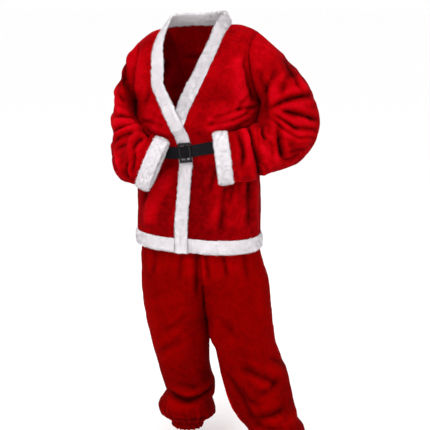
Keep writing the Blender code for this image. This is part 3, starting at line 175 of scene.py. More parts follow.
def smooth(xs, ys, at):
    """A curve through the points (xs, ys), read at the values of at. Each slope is the harmonic mean
    of the slopes on its two sides, or level at a peak, so the curve never overshoots."""
    xs, ys, at = np.asarray(xs, float), np.asarray(ys, float), np.asarray(at, float)
    flat = ys.ndim == 1
    ys = ys.reshape(len(xs), -1)
    step = np.diff(xs)[:, None]
    slope = np.diff(ys, axis=0) / step
    product = slope[:-1] * slope[1:]
    total = np.where(np.abs(slope[:-1] + slope[1:]) < 1e-12, 1.0, slope[:-1] + slope[1:])
    inner = np.where(product > 0, 2 * product / total, 0.0)
    tangent = np.vstack([slope[:1], inner, slope[-1:]])
    at = np.clip(at, xs[0], xs[-1])
    k = np.clip(np.searchsorted(xs, at, side="right") - 1, 0, len(xs) - 2)
    t = ((at - xs[k]) / step[k, 0])[..., None]
    value = (
        ys[k] * (1 + 2 * t) * (1 - t) ** 2
        + ys[k + 1] * t**2 * (3 - 2 * t)
        + step[k] * (tangent[k] * t * (1 - t) ** 2 - tangent[k + 1] * t**2 * (1 - t))
    )
    return value[..., 0] if flat else value


def ease(t):
    """0 below 0, 1 above 1, and 3t^2 - 2t^3 between."""
    t = np.clip(t, 0.0, 1.0)
    return t * t * (3 - 2 * t)


def unit(v):
    """Vectors scaled to length 1."""
    return v / np.maximum(np.linalg.norm(v, axis=-1, keepdims=True), 1e-12)


def body_point(across, front, height):
    """A point from its distance across, forward and up, in the turned and leaning frame of the chest."""
    across, front, height = np.broadcast_arrays(*map(np.asarray, (across, front, height)))
    lean = smooth(BODY["height"], BODY["lean"], height)
    flat = across[..., None] * ACROSS + front[..., None] * FORWARD
    return BODY_CENTRE + flat + (height + lean * across)[..., None] * UP


def body_ring(angle, height, inset=0.0):
    """A point of the body at an angle from the centre front: (w sin^p, d cos^p) with p = 2 / squareness,
    where d is the depth in front or behind."""
    width = smooth(BODY["height"], BODY["half_width"], height) - inset
    front = smooth(BODY["height"], BODY["front"], height) - inset
    back = smooth(BODY["height"], BODY["back"], height) - inset
    depth = np.where(np.cos(angle) > 0, front, back)
    power = 2 / SQUARENESS
    across = width * np.sign(np.sin(angle)) * np.abs(np.sin(angle)) ** power
    forward = depth * np.sign(np.cos(angle)) * np.abs(np.cos(angle)) ** power
    return body_point(across, forward, height)


def angle_at(across, height):
    """The angle of the ring point that lies this far across."""
    share = np.abs(across) / smooth(BODY["height"], BODY["half_width"], height)
    return np.sign(across) * np.arcsin(share ** (SQUARENESS / 2))


def underlap(angle, height):
    """How far the left front is set in: fully beneath the right front and its fur, easing out beyond."""
    across = 0.20 * np.sin(angle)
    slant = np.interp(height, [1.05, 1.14], [0.0, 0.012])
    free_edge = smooth(RIGHT_EDGE["height"], RIGHT_EDGE["across"], height) + FUR_WIDTH + slant
    return UNDERLAP * ease((free_edge + 0.060 - across) / 0.042)


def bezier(points, t):
    """The cubic curve of four control points."""
    a, b, c, d = (np.asarray(p, float) for p in points)
    t = np.asarray(t)[..., None]
    return a * (1 - t) ** 3 + 3 * b * t * (1 - t) ** 2 + 3 * c * t**2 * (1 - t) + d * t**3


def spanned(bottom, top, left, right):
    """The surface that four edge curves span: the two straight blends added, less that of the corners."""
    s = np.linspace(0, 1, len(bottom))[None, :, None]
    t = np.linspace(0, 1, len(left))[:, None, None]
    rails = (1 - t) * bottom[None] + t * top[None] + (1 - s) * left[:, None] + s * right[:, None]
    corners = (1 - t) * ((1 - s) * bottom[0] + s * bottom[-1]) + t * ((1 - s) * top[0] + s * top[-1])
    return rails - corners


def mirrored(side, triple):
    """A point of the left side, or for side -1 its mirror image on the right."""
    across, front, height = triple
    return (side * across, front, height)


def shoulder_seam(side):
    """The seam from the shoulder's tip to the neck, arched a little over the shoulder."""
    t = np.linspace(0, 1, FRONT_COLUMNS + 1)
    tip = np.array(SHOULDER_TIPS[side])
    line = tip + (np.array(mirrored(side, NECK_POINT)) - tip) * t[:, None]
    line[:, 2] += 0.010 * np.sin(math.pi * t)
    return body_point(*line.T)


def armhole(side, controls, shares):
    """One half of an armhole, from the underarm up to the shoulder's tip."""
    start = (side * smooth(BODY["height"], BODY["half_width"], UNDERARM), 0.0, UNDERARM)
    curve = bezier([start, *(mirrored(side, c) for c in controls), SHOULDER_TIPS[side]], shares)
    return body_point(*curve.T)


LOWER_HEIGHTS = np.linspace(HEM + HEM_FUR, UNDERARM, LOWER_ROWS + 1)
UPPER_SHARES = np.linspace(0, 1, UPPER_ROWS + 1)


def front_panel(side, edge, neck):
    """A front from hem seam to shoulder seam: rows up, columns from side seam and armhole to the fur."""
    height = LOWER_HEIGHTS[:, None]
    ends = angle_at(smooth(edge["height"], edge["across"], LOWER_HEIGHTS), LOWER_HEIGHTS)[:, None]
    share = np.linspace(0, 1, FRONT_COLUMNS + 1)[None]
    angle = side * math.pi / 2 * (1 - share) + ends * share
    inset = underlap(angle, height) if side > 0 else 0.0
    lower = body_ring(angle, height + 0 * angle, inset)
    stations = np.vstack([lower[-1, -1][None], body_point(*np.array(neck).T)])
    neck_edge = smooth(NECK_SHARES, stations, UPPER_SHARES)
    upper = spanned(lower[-1], shoulder_seam(side), armhole(side, ARMHOLE_FRONT, UPPER_SHARES), neck_edge)
    return np.vstack([lower, upper[1:]])


def back_half(side):
    """Half of the back: rows up, columns from the side seam and armhole to the centre back."""
    share = np.linspace(0, 1, FRONT_COLUMNS + NECK_COLUMNS + 1)[None]
    height = LOWER_HEIGHTS[:, None] + 0 * share
    lower = body_ring(side * math.pi / 2 * (1 + share), height)
    neck = [mirrored(side, point) for point in BACK_NECK_CURVE]
    neck_curve = body_point(*bezier(neck, np.linspace(0, 1, NECK_COLUMNS + 1)).T)
    top = np.vstack([shoulder_seam(side), neck_curve[1:]])
    spine = body_point(*bezier(SPINE, UPPER_SHARES).T)
    upper = spanned(lower[-1], top, armhole(side, ARMHOLE_BACK, UPPER_SHARES), spine)
    return np.vstack([lower, upper[1:]])


def outward_normals(grid, inside, wrap=False):
    """Normals of a grid, from the cross product of its two directions, turned away from inside."""
    if wrap:
        padded = np.concatenate([grid[:, -1:], grid, grid[:, :1]], axis=1)
        around = np.gradient(padded, axis=1)[:, 1:-1]
    else:
        around = np.gradient(grid, axis=1)
    normal = unit(np.cross(around, np.gradient(grid, axis=0)))
    return normal * np.sign((normal * (grid - inside)).sum())


FULL_SHADE_DEPTH = 0.008  # a fold this deep is shaded in full


def creases(points, normals, rows, view):
    """How far folds move each point out, and how much they shade it. A row is x0 h0 x1 h1 bow depth
    width, drawn on the front view (view -1) or the back view (view 1). A trough is a narrow groove,
    exp(-(1.3 s)^1.3), between two low rolls; a ridge is exp(-s^2). s is the distance from the fold's
    bowed line over its width, and both ends fade."""
    height = np.zeros(points.shape[:-1])
    shade = np.zeros(points.shape[:-1])
    facing = ease((normals[..., 1] * view + 0.45) / 0.6)
    for x0, h0, x1, h1, bow, depth, width in rows:
        start = np.array([x0, h0])
        run = np.array([x1, h1]) - start
        length = np.hypot(*run)
        along = run / length
        offset = points[..., [0, 2]] - start
        t = (offset @ along) / length
        side = offset @ np.array([-along[1], along[0]]) - bow * (1 - (2 * t - 1) ** 2)
        fade = ease((0.5 - np.abs(t - 0.5)) / 0.3 + 0.35)
        s = np.abs(side) / width
        strength = min(abs(depth) / FULL_SHADE_DEPTH, 1.3)
        # tone is painted shade in a trough's groove with painted highlights on the low rolls beside it, and a
        # painted highlight along a ridge
        if depth < 0:
            form = 1.2 * np.exp(-((1.3 * s) ** 1.3)) - 0.32 * np.exp(-(((s - 1.8) / 0.8) ** 2))
            tone = 0.5 * np.exp(-(((s - 1.8) / 0.9) ** 2)) - 1.25 * np.exp(-((1.5 * s) ** 1.2))
        else:
            form = np.exp(-(s**2))
            tone = 0.6 * np.exp(-(s**2))
        height += depth * fade * form
        shade += strength * fade * tone
    return np.stack([height * facing, shade * facing])


def lumps(points, size, seed):
    """Soft unevenness between -1 and 1: the mean of 20 plane waves in random directions, whose lengths
    are about size."""
    rng = np.random.default_rng(seed)
    waves = unit(rng.normal(size=(20, 3))) * (2 * math.pi / (size * rng.uniform(0.7, 1.5, 20)))[:, None]
    total = np.zeros(points.shape[:-1])
    for wave, phase in zip(waves, rng.uniform(0, 2 * math.pi, 20)):
        total += np.sin(points @ wave + phase)
    return total / 6.0


def edge_distance(grid, edges):
    """The distance along the cloth from each point to the nearest of the named edges of its grid."""
    across = np.linalg.norm(np.diff(grid, axis=1), axis=-1)
    along = np.linalg.norm(np.diff(grid, axis=0), axis=-1)
    from_left = np.concatenate([np.zeros((len(grid), 1)), np.cumsum(across, 1)], 1)
    from_bottom = np.concatenate([np.zeros((1, grid.shape[1])), np.cumsum(along, 0)], 0)
    ways = {
        "first_column": from_left,
        "last_column": from_left[:, -1:] - from_left,
        "first_row": from_bottom,
        "last_row": from_bottom[-1:] - from_bottom,
    }
    return np.minimum.reduce([ways[edge] for edge in edges])


def cloth_piece(name, grid, normals, painted_shade_and_seams, material, wrap=False):
    """A closed wall of cloth: the grid moved out and in by half the thickness and joined round its
    open edges. The painted shade is stored on each point: -1 in the bottom of a crease, 1 on a crest,
    with seams a little darker."""
    rows, cols = grid.shape[:2]
    points = np.concatenate([grid + normals * CLOTH / 2, grid - normals * CLOTH / 2]).reshape(-1, 3)
    points[:, 2] -= HELD_AT
    index = np.arange(rows * cols).reshape(rows, cols)
    if wrap:
        index = np.hstack([index, index[:, :1]])
    below = index + rows * cols
    outer = np.stack([index[:-1, :-1], index[:-1, 1:], index[1:, 1:], index[1:, :-1]], -1).reshape(-1, 4)
    corner = grid.reshape(-1, 3)[outer]
    facing = np.cross(corner[:, 2] - corner[:, 0], corner[:, 3] - corner[:, 1])
    inverted = (facing * normals.reshape(-1, 3)[outer[:, 0]]).sum() < 0
    faces = [outer, outer[:, ::-1] + rows * cols]
    edges = [(index[0], below[0]), (below[-1], index[-1])]
    if not wrap:
        edges += [(below[:, 0], index[:, 0]), (index[:, -1], below[:, -1])]
    for a, b in edges:
        faces.append(np.stack([a[:-1], b[:-1], b[1:], a[1:]], -1))
    faces = np.vstack(faces)
    if inverted:
        faces = faces[:, ::-1]
    return new_piece(name, points, faces, material, np.concatenate([painted_shade_and_seams.ravel(), painted_shade_and_seams.ravel()]))


def new_piece(name, points, faces, material, painted_shade_and_seams):
    """An object from points and faces, smooth shaded, with its painted shade stored on its points."""
    mesh = bpy.data.meshes.new(name)
    mesh.from_pydata(points.tolist(), [], faces.tolist())
    mesh.attributes.new("painted_shade_and_seams", "FLOAT", "POINT").data.foreach_set("value", painted_shade_and_seams.astype(np.float32))
    mesh.materials.append(material)
    mesh.shade_smooth()
    piece = bpy.data.objects.new(name, mesh)
    bpy.context.scene.collection.objects.link(piece)
    return piece


# Creases of the fronts and the back. The first rows of each list are the largest folds, and the rest
# are the smaller ones between them.
FRONT_CREASES = [
    (-0.175, 0.800, -0.085, 0.985, 0.010, 0.010, 0.020),
    (-0.130, 0.770, -0.070, 0.930, 0.008, -0.008, 0.016),
    (0.020, 0.800, 0.090, 0.960, -0.010, 0.005, 0.018),
    (0.070, 0.770, 0.090, 0.950, 0.004, -0.0055, 0.012),
    (0.130, 0.760, 0.120, 0.930, 0.0, 0.005, 0.018),
    (0.165, 0.780, 0.160, 0.960, 0.0, -0.005, 0.012),
    (0.020, 1.105, 0.150, 1.165, 0.008, 0.010, 0.022),
    (0.060, 1.085, 0.170, 1.110, 0.0, -0.008, 0.015),
    (-0.160, 1.110, -0.090, 1.090, 0.0, 0.008, 0.020),
    (0.150, 1.180, 0.125, 1.340, 0.010, 0.010, 0.020),
    (0.172, 1.200, 0.160, 1.320, 0.0, -0.010, 0.014),
    (-0.205, 1.220, -0.190, 1.330, 0.0, 0.006, 0.020),
    # small drags and puckers
    (-0.190, 0.850, -0.140, 0.960, 0.006, -0.0045, 0.009),
    (-0.150, 0.930, -0.095, 0.995, 0.004, -0.0040, 0.007),
    (-0.110, 0.830, -0.075, 0.900, 0.003, 0.0040, 0.009),
    (-0.185, 0.770, -0.165, 0.830, 0.002, 0.0035, 0.010),
    (0.030, 0.900, 0.060, 0.990, 0.003, -0.0040, 0.008),
    (0.045, 0.840, 0.100, 0.870, 0.006, 0.0035, 0.009),
    (0.095, 0.860, 0.110, 0.985, -0.003, -0.0045, 0.008),
    (0.100, 0.790, 0.150, 0.850, 0.005, 0.0035, 0.010),
    (0.140, 0.900, 0.150, 0.990, 0.002, 0.0040, 0.009),
    (0.180, 0.820, 0.185, 0.930, 0.0, 0.0035, 0.009),
    (0.030, 1.130, 0.095, 1.150, 0.004, -0.0045, 0.008),
    (0.075, 1.120, 0.130, 1.150, -0.004, 0.0045, 0.009),
    (0.110, 1.110, 0.165, 1.140, 0.004, -0.0050, 0.008),
    (0.045, 1.165, 0.085, 1.200, 0.003, 0.0035, 0.012),
    (0.125, 1.165, 0.155, 1.230, 0.004, -0.0055, 0.009),
    (0.100, 1.190, 0.130, 1.270, 0.004, 0.0040, 0.013),
    (0.130, 1.300, 0.160, 1.380, -0.004, -0.0045, 0.010),
    (0.095, 1.300, 0.120, 1.390, 0.003, 0.0035, 0.013),
    (0.108, 1.172, 0.185, 1.179, 0.003, -0.0085, 0.007),
    (0.098, 1.140, 0.163, 1.169, -0.001, -0.0080, 0.007),
    (0.117, 1.195, 0.159, 1.246, 0.001, 0.0055, 0.010),
    (0.040, 1.151, 0.104, 1.170, -0.003, -0.0055, 0.008),
    (0.021, 1.129, 0.098, 1.142, -0.003, -0.0060, 0.008),
    (0.139, 1.327, 0.153, 1.232, 0.004, -0.0065, 0.009),
    (0.117, 1.340, 0.124, 1.258, 0.003, 0.0050, 0.012),
    (0.202, 1.120, 0.206, 1.215, 0.000, 0.0080, 0.016),
    (-0.190, 1.130, -0.120, 1.115, 0.004, -0.0050, 0.008),
    (-0.165, 1.180, -0.120, 1.150, 0.003, 0.0035, 0.011),
    (-0.185, 1.180, -0.150, 1.300, -0.006, -0.0045, 0.009),
    (-0.160, 1.230, -0.140, 1.330, -0.003, 0.0035, 0.012),
]
BACK_CREASES = [
    (-0.120, 0.790, -0.080, 0.960, 0.006, 0.009, 0.020),
    (-0.050, 0.770, -0.030, 0.950, 0.0, -0.008, 0.018),
    (0.020, 0.780, 0.015, 0.965, 0.0, 0.008, 0.018),
    (0.090, 0.770, 0.070, 0.950, -0.006, -0.008, 0.018),
    (0.150, 0.790, 0.120, 0.960, 0.0, 0.009, 0.020),
    (-0.140, 1.095, 0.000, 1.120, -0.006, 0.010, 0.022),
    (0.010, 1.115, 0.150, 1.100, 0.006, 0.009, 0.022),
    (-0.155, 1.180, -0.110, 1.330, 0.010, -0.009, 0.018),
    (0.150, 1.190, 0.105, 1.340, -0.010, -0.009, 0.018),
    # small drags and puckers
    (-0.170, 0.840, -0.140, 0.980, 0.004, -0.0045, 0.009),
    (-0.085, 0.880, -0.065, 0.990, 0.002, -0.0045, 0.008),
    (-0.010, 0.860, -0.005, 0.985, 0.003, 0.0040, 0.009),
    (0.045, 0.890, 0.040, 0.990, 0.002, -0.0045, 0.008),
    (0.115, 0.880, 0.100, 0.985, -0.003, 0.0040, 0.008),
    (0.175, 0.830, 0.160, 0.970, 0.003, -0.0045, 0.009),
    (-0.165, 1.120, -0.080, 1.150, 0.005, -0.0045, 0.008),
    (-0.070, 1.105, 0.030, 1.090, -0.004, -0.0050, 0.008),
    (-0.020, 1.140, 0.070, 1.160, 0.005, 0.0040, 0.010),
    (0.070, 1.130, 0.165, 1.150, -0.005, -0.0045, 0.008),
    (-0.110, 1.180, -0.030, 1.230, 0.006, 0.0035, 0.014),
    (0.040, 1.220, 0.120, 1.190, 0.006, 0.0035, 0.014),
    (-0.060, 1.340, 0.050, 1.350, -0.008, -0.0035, 0.011),
    (-0.160, 1.320, -0.120, 1.390, 0.003, 0.0035, 0.012),
    (0.120, 1.320, 0.155, 1.390, 0.003, -0.0040, 0.011),
]
SEAM_DIP = 0.0016  # how far the pile and cloth sink at a seam
SEAM_SHADE = 0.25  # how much the parted pile darkens a seam


def calm_at_belt(height):
    """0 where the belt holds the jacket flat, 1 away from it."""
    return ease((np.abs(height - BELT_AT) - 0.030) / 0.035)


def beneath_right_front(grid):
    """1 for the part of the left front that lies beneath the right front."""
    across = (grid - BODY_CENTRE) @ ACROSS
    height = np.minimum(grid[..., 2], UNDERARM)
    free = smooth(RIGHT_EDGE["height"], RIGHT_EDGE["across"], height) + FUR_WIDTH
    return ease((free + 0.03 - across) / 0.03)


def held_by_seams(grid):
    """Folds die out towards the shoulder seam, the armhole and the neck, and at the hem."""
    near_top = ease(edge_distance(grid, ["last_row"]) / 0.045)
    sides = ease(edge_distance(grid, ["first_column", "last_column"]) / 0.035)
    high = ease((grid[..., 2] - UNDERARM + 0.03) / 0.03)
    hem = ease((grid[..., 2] - HEM - HEM_FUR) / 0.05)
    return hem * (1 - high + high * near_top * sides)


def dress_panel(name, grid, seams, share, seed):
    """A body panel with its creases, its unevenness and its dips along seams, and the values of its
    painted shade. It is painted a little lighter above the belt and darker below it, as painted shade."""
    spine = grid * UP + BODY_CENTRE
    normals = outward_normals(grid, spine)
    folds, shade = creases(grid, normals, FRONT_CREASES, -1) + creases(grid, normals, BACK_CREASES, 1)
    kept = share(grid, folds) * calm_at_belt(grid[..., 2]) * held_by_seams(grid)
    folds, shade = folds * kept, shade * kept
    uneven = 0.0011 * lumps(grid, 0.055, seed) + 0.0005 * lumps(grid, 0.020, seed + 1)
    dip = SEAM_DIP * np.exp(-((edge_distance(grid, seams) / 0.006) ** 2))
    moved = folds + uneven * calm_at_belt(grid[..., 2]) - dip
    shaped = grid + normals * moved[..., None]
    # Painted light: a little lighter above the belt, painted shade below it
    streaks_and_painted_shade = 0.12 - 0.45 * ease((BELT_AT - grid[..., 2]) / 0.06)
    painted_shade_and_seams = np.clip(shade + streaks_and_painted_shade - dip / SEAM_DIP * SEAM_SHADE, -1.5, 1)
    piece = cloth_piece(name, shaped, outward_normals(shaped, spine), painted_shade_and_seams, red_plush)
    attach(piece, "root")
    return piece, shaped


def ramp(tree, factor, stops):
    """A colour ramp with stops of (place, colour)."""
    node = tree.nodes.new("ShaderNodeValToRGB")
    tree.links.new(factor, node.inputs["Fac"])
    while len(node.color_ramp.elements) < len(stops):
        node.color_ramp.elements.new(0.5)
    for element, (place, colour) in zip(node.color_ramp.elements, stops):
        element.position = place
        element.color = (*colour, 1.0)
    return node.outputs["Color"]


def noise(tree, place, scale, detail=2.0, roughness=0.5, distortion=0.0):
    """Soft noise between 0 and 1, with about scale lumps to a metre."""
    node = tree.nodes.new("ShaderNodeTexNoise")
    tree.links.new(place, node.inputs["Vector"])
    node.inputs["Scale"].default_value = scale
    node.inputs["Detail"].default_value = detail
    node.inputs["Roughness"].default_value = roughness
    node.inputs["Distortion"].default_value = distortion
    return node.outputs["Fac"]


def maths(tree, operation, first, second):
    """The sum, difference or product of two values, each a number or another node's output."""
    node = tree.nodes.new("ShaderNodeMath")
    node.operation = operation
    for socket, value in zip(node.inputs, (first, second)):
        if isinstance(value, bpy.types.NodeSocket):
            tree.links.new(value, socket)
        else:
            socket.default_value = value
    return node.outputs["Value"]


def bump(tree, height, strength, distance, under=None):
    """The normal of a bump, laid over another bump's normal where one is given."""
    node = tree.nodes.new("ShaderNodeBump")
    node.inputs["Strength"].default_value = strength
    node.inputs["Distance"].default_value = distance
    tree.links.new(height, node.inputs["Height"])
    if under is not None:
        tree.links.new(under, node.inputs["Normal"])
    return node.outputs["Normal"]


def plush(name, shades, mottle, streak, sheen, pile_depth):
    """Short pile. Broad patches where the pile is brushed one way or another, finger-wide mottling,
    clumps of fibres and single fibres each shift the shade; painted shade read from each point darkens
    creases, and painted highlights lighten crests."""
    material, tree, shader = new_material(name)
    place = tree.nodes.new("ShaderNodeTexCoord").outputs["Object"]
    painted_shade_and_seams_attribute = tree.nodes.new("ShaderNodeAttribute")
    painted_shade_and_seams_attribute.attribute_name = "painted_shade_and_seams"
    broad = noise(tree, place, 11.0, 3.0, 0.55, 0.6)
    streaks_and_painted_shade = noise(tree, place, 38.0, 3.0, 0.6, 1.2)
    clumps = noise(tree, place, 170.0, 3.0, 0.65, 0.4)
    fibres = noise(tree, place, 900.0, 2.0, 0.7)
    tone = maths(tree, "MULTIPLY", maths(tree, "SUBTRACT", broad, 0.5), mottle)
    for source, weight in ((streaks_and_painted_shade, streak), (clumps, 0.10), (fibres, 0.12)):
        tone = maths(tree, "ADD", tone, maths(tree, "MULTIPLY", maths(tree, "SUBTRACT", source, 0.5), weight))
    # Painted shade and highlights of folds and panels, with darker seams, read from each point
    tone = maths(tree, "ADD", tone, maths(tree, "MULTIPLY", painted_shade_and_seams_attribute.outputs["Fac"], 0.34))
    tone = maths(tree, "ADD", tone, 0.5)
    tree.links.new(ramp(tree, tone, shades), shader.inputs["Base Color"])
    soft = bump(tree, streaks_and_painted_shade, 0.55, 0.006)
    tufts = bump(tree, clumps, 0.50, pile_depth, soft)
    tree.links.new(bump(tree, fibres, 0.7, 0.0007, tufts), shader.inputs["Normal"])
    shader.inputs["Roughness"].default_value = 0.92
    shader.inputs["Specular IOR Level"].default_value = 0.012
    shader.inputs["Sheen Weight"].default_value = sheen[0]
    shader.inputs["Sheen Roughness"].default_value = sheen[1]
    shader.inputs["Sheen Tint"].default_value = (*sheen[2], 1.0)
    return material


red_plush = plush(
    "red_plush",
    [(0.05, (0.030, 0.0, 0.0)), (0.38, (0.20, 0.0, 0.001)), (0.62, (0.37, 0.0, 0.002)),
     (0.92, (0.56, 0.001, 0.007))],
    mottle=0.58,
    streak=0.50,
    sheen=(0.12, 0.4, (1.0, 0.01, 0.03)),
    pile_depth=0.0022,
)

BODY_SEAMS = ["first_column", "last_row"]
left_front = front_panel(1, LEFT_EDGE, LEFT_NECK)
right_front = front_panel(-1, RIGHT_EDGE, RIGHT_NECK)
back = np.concatenate([back_half(1), back_half(-1)[:, ::-1][:, 1:]], axis=1)


def left_share(grid, folds):
    """No folds where the left front lies beneath the right one."""
    return 1 - beneath_right_front(grid)


def right_share(grid, folds):
    """No troughs where the right front covers the left one's fur."""
    clear = ease((-0.100 - (grid - BODY_CENTRE) @ ACROSS) / 0.03)
    return np.where(folds < 0, clear, 1.0)


def back_share(grid, folds):
    """Folds all over the back."""
    return np.ones(folds.shape)


left_piece, left_front = dress_panel("left_front_cloth", left_front, BODY_SEAMS, left_share, 3)
right_piece, right_front = dress_panel("right_front_cloth", right_front, BODY_SEAMS, right_share, 7)
back_seams = ["first_column", "last_column", "last_row"]
back_piece, back = dress_panel("back_cloth", back, back_seams, back_share, 11)
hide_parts("jacket_front_left")
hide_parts("jacket_front_right")
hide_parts("jacket_back")


# Sleeves
# Each is one full tube of the same plush, set into the armhole. Both are bent, with the forearm across
# the waist, so the cloth crumples in the crook of the elbow and hangs in a bag below the forearm.
# A row is a ring: its point next to the body or in the crook, its outer point, its half depth, and how
# many degrees its front is turned to the wearer's right. The armhole itself is the first ring.
SLEEVE_COLUMNS = "in_x in_y in_h out_x out_y out_h half_depth turn"
LEFT_SLEEVE = table(
    SLEEVE_COLUMNS,
    [
        (0.211, -0.066, 1.180, 0.262, -0.058, 1.356, 0.090, 15),
        (0.201, -0.080, 1.164, 0.313, -0.060, 1.302, 0.093, 20),
        (0.194, -0.092, 1.152, 0.363, -0.062, 1.228, 0.096, 22),
        (0.192, -0.102, 1.142, 0.393, -0.070, 1.130, 0.097, 18),
        (0.192, -0.111, 1.134, 0.374, -0.092, 1.064, 0.092, 8),
        (0.191, -0.121, 1.129, 0.318, -0.138, 1.000, 0.077, -8),
        (0.178, -0.152, 1.130, 0.222, -0.180, 0.974, 0.062, -15),
        (0.136, -0.203, 1.119, 0.157, -0.208, 0.955, 0.051, -9),
        (0.089, -0.222, 1.111, 0.109, -0.220, 0.954, 0.044, -1),
    ],
)
RIGHT_SLEEVE = table(
    SLEEVE_COLUMNS,
    [
        (-0.217, 0.050, 1.174, -0.238, 0.052, 1.342, 0.088, 15),
        (-0.210, 0.040, 1.152, -0.255, 0.040, 1.292, 0.091, 14),
        (-0.200, 0.026, 1.136, -0.283, 0.024, 1.212, 0.092, 12),
        (-0.192, 0.006, 1.126, -0.294, 0.002, 1.132, 0.091, 8),
        (-0.188, -0.024, 1.122, -0.294, -0.028, 1.066, 0.087, 4),
        (-0.184, -0.064, 1.118, -0.290, -0.070, 0.996, 0.076, 5),
        (-0.180, -0.105, 1.112, -0.274, -0.113, 0.960, 0.064, 11),
        (-0.164, -0.140, 1.100, -0.245, -0.148, 0.942, 0.054, 12),
        (-0.142, -0.160, 1.089, -0.207, -0.166, 0.936, 0.044, 9),
    ],
)
HALF_RING = 56
RINGS_PER_STATION = 15
EVENING_PASSES = 12  # how often the rings that were moved clear of the body are evened out
SLEEVE_CLEARANCE = np.array([0.0, 0.0100, 0.0165, 0.0180, 0.0165, 0.0140, 0.0115])
LEFT_SLEEVE_FRONT = [
    (0.226, 1.182, 0.354, 1.221, 0.012, -0.0125, 0.011),
    (0.240, 1.205, 0.350, 1.245, 0.008, 0.0055, 0.016),
    (0.236, 1.173, 0.374, 1.195, 0.007, 0.0080, 0.013),
    (0.255, 1.179, 0.381, 1.141, 0.004, -0.0105, 0.010),
    (0.290, 1.118, 0.380, 1.108, 0.008, -0.0060, 0.010),
    (0.270, 1.105, 0.355, 1.065, 0.010, 0.0070, 0.018),
    (0.249, 1.129, 0.266, 1.022, -0.002, -0.0120, 0.011),
    (0.184, 1.074, 0.262, 1.013, -0.005, 0.0085, 0.014),
    (0.168, 1.079, 0.194, 0.962, 0.006, -0.0140, 0.012),
    (0.129, 1.125, 0.149, 1.010, 0.014, 0.0085, 0.014),
    (0.119, 1.116, 0.133, 1.004, 0.013, -0.0090, 0.010),
    (0.272, 1.338, 0.306, 1.272, 0.001, -0.0065, 0.015),
    # smaller creases
    (0.190, 1.300, 0.207, 1.160, 0.002, -0.0120, 0.018),
    (0.227, 1.169, 0.323, 1.141, -0.007, 0.0060, 0.011),
    (0.233, 1.169, 0.314, 1.118, 0.000, -0.0100, 0.007),
    (0.306, 1.149, 0.346, 1.139, 0.000, 0.0080, 0.014),
    (0.233, 1.153, 0.324, 1.089, -0.007, -0.0070, 0.007),
    (0.207, 1.145, 0.246, 1.087, 0.018, 0.0090, 0.012),
    (0.203, 1.124, 0.213, 1.089, -0.006, -0.0100, 0.006),
    (0.155, 1.127, 0.168, 1.072, 0.003, -0.0100, 0.007),
    (0.280, 1.043, 0.341, 1.053, 0.002, -0.0045, 0.007),
    (0.270, 1.020, 0.319, 1.040, -0.002, -0.0045, 0.007),
    (0.301, 1.282, 0.334, 1.230, 0.001, 0.0060, 0.010),
    (0.306, 1.279, 0.331, 1.231, -0.005, -0.0070, 0.007),
    (0.201, 1.219, 0.239, 1.296, 0.000, -0.0060, 0.012),
    (0.220, 1.213, 0.268, 1.289, -0.001, 0.0060, 0.014),
    (0.259, 1.222, 0.280, 1.289, -0.001, -0.0040, 0.009),
    (0.107, 1.001, 0.110, 0.950, 0.008, -0.0060, 0.007),
    (0.201, 1.019, 0.220, 0.974, 0.004, -0.0060, 0.007),
    (0.310, 1.090, 0.375, 1.085, 0.004, -0.0045, 0.007),
    (0.225, 1.085, 0.232, 1.040, 0.004, -0.0045, 0.007),
]
LEFT_SLEEVE_BACK = [
    (0.245, 1.220, 0.350, 1.250, 0.000, 0.0072, 0.0198),
    (0.245, 1.190, 0.375, 1.200, 0.000, -0.0088, 0.0154),
    (0.250, 1.155, 0.385, 1.150, 0.000, 0.0080, 0.0198),
    (0.255, 1.115, 0.380, 1.090, 0.000, -0.0088, 0.0154),
    (0.250, 1.080, 0.335, 1.030, 0.000, 0.0080, 0.0176),
    # smaller creases
    (0.240, 1.270, 0.290, 1.320, 0.003, -0.0045, 0.010),
    (0.270, 1.230, 0.340, 1.225, 0.004, -0.0045, 0.009),
    (0.280, 1.170, 0.370, 1.175, 0.004, -0.0045, 0.009),
    (0.290, 1.130, 0.380, 1.125, 0.005, -0.0045, 0.009),
    (0.270, 1.060, 0.320, 1.010, 0.003, -0.0045, 0.009),
    (0.200, 1.080, 0.250, 1.000, 0.004, 0.0045, 0.010),
    (0.180, 1.090, 0.210, 1.000, 0.004, -0.0050, 0.009),
    (0.140, 1.080, 0.160, 0.980, 0.003, 0.0040, 0.009),
]
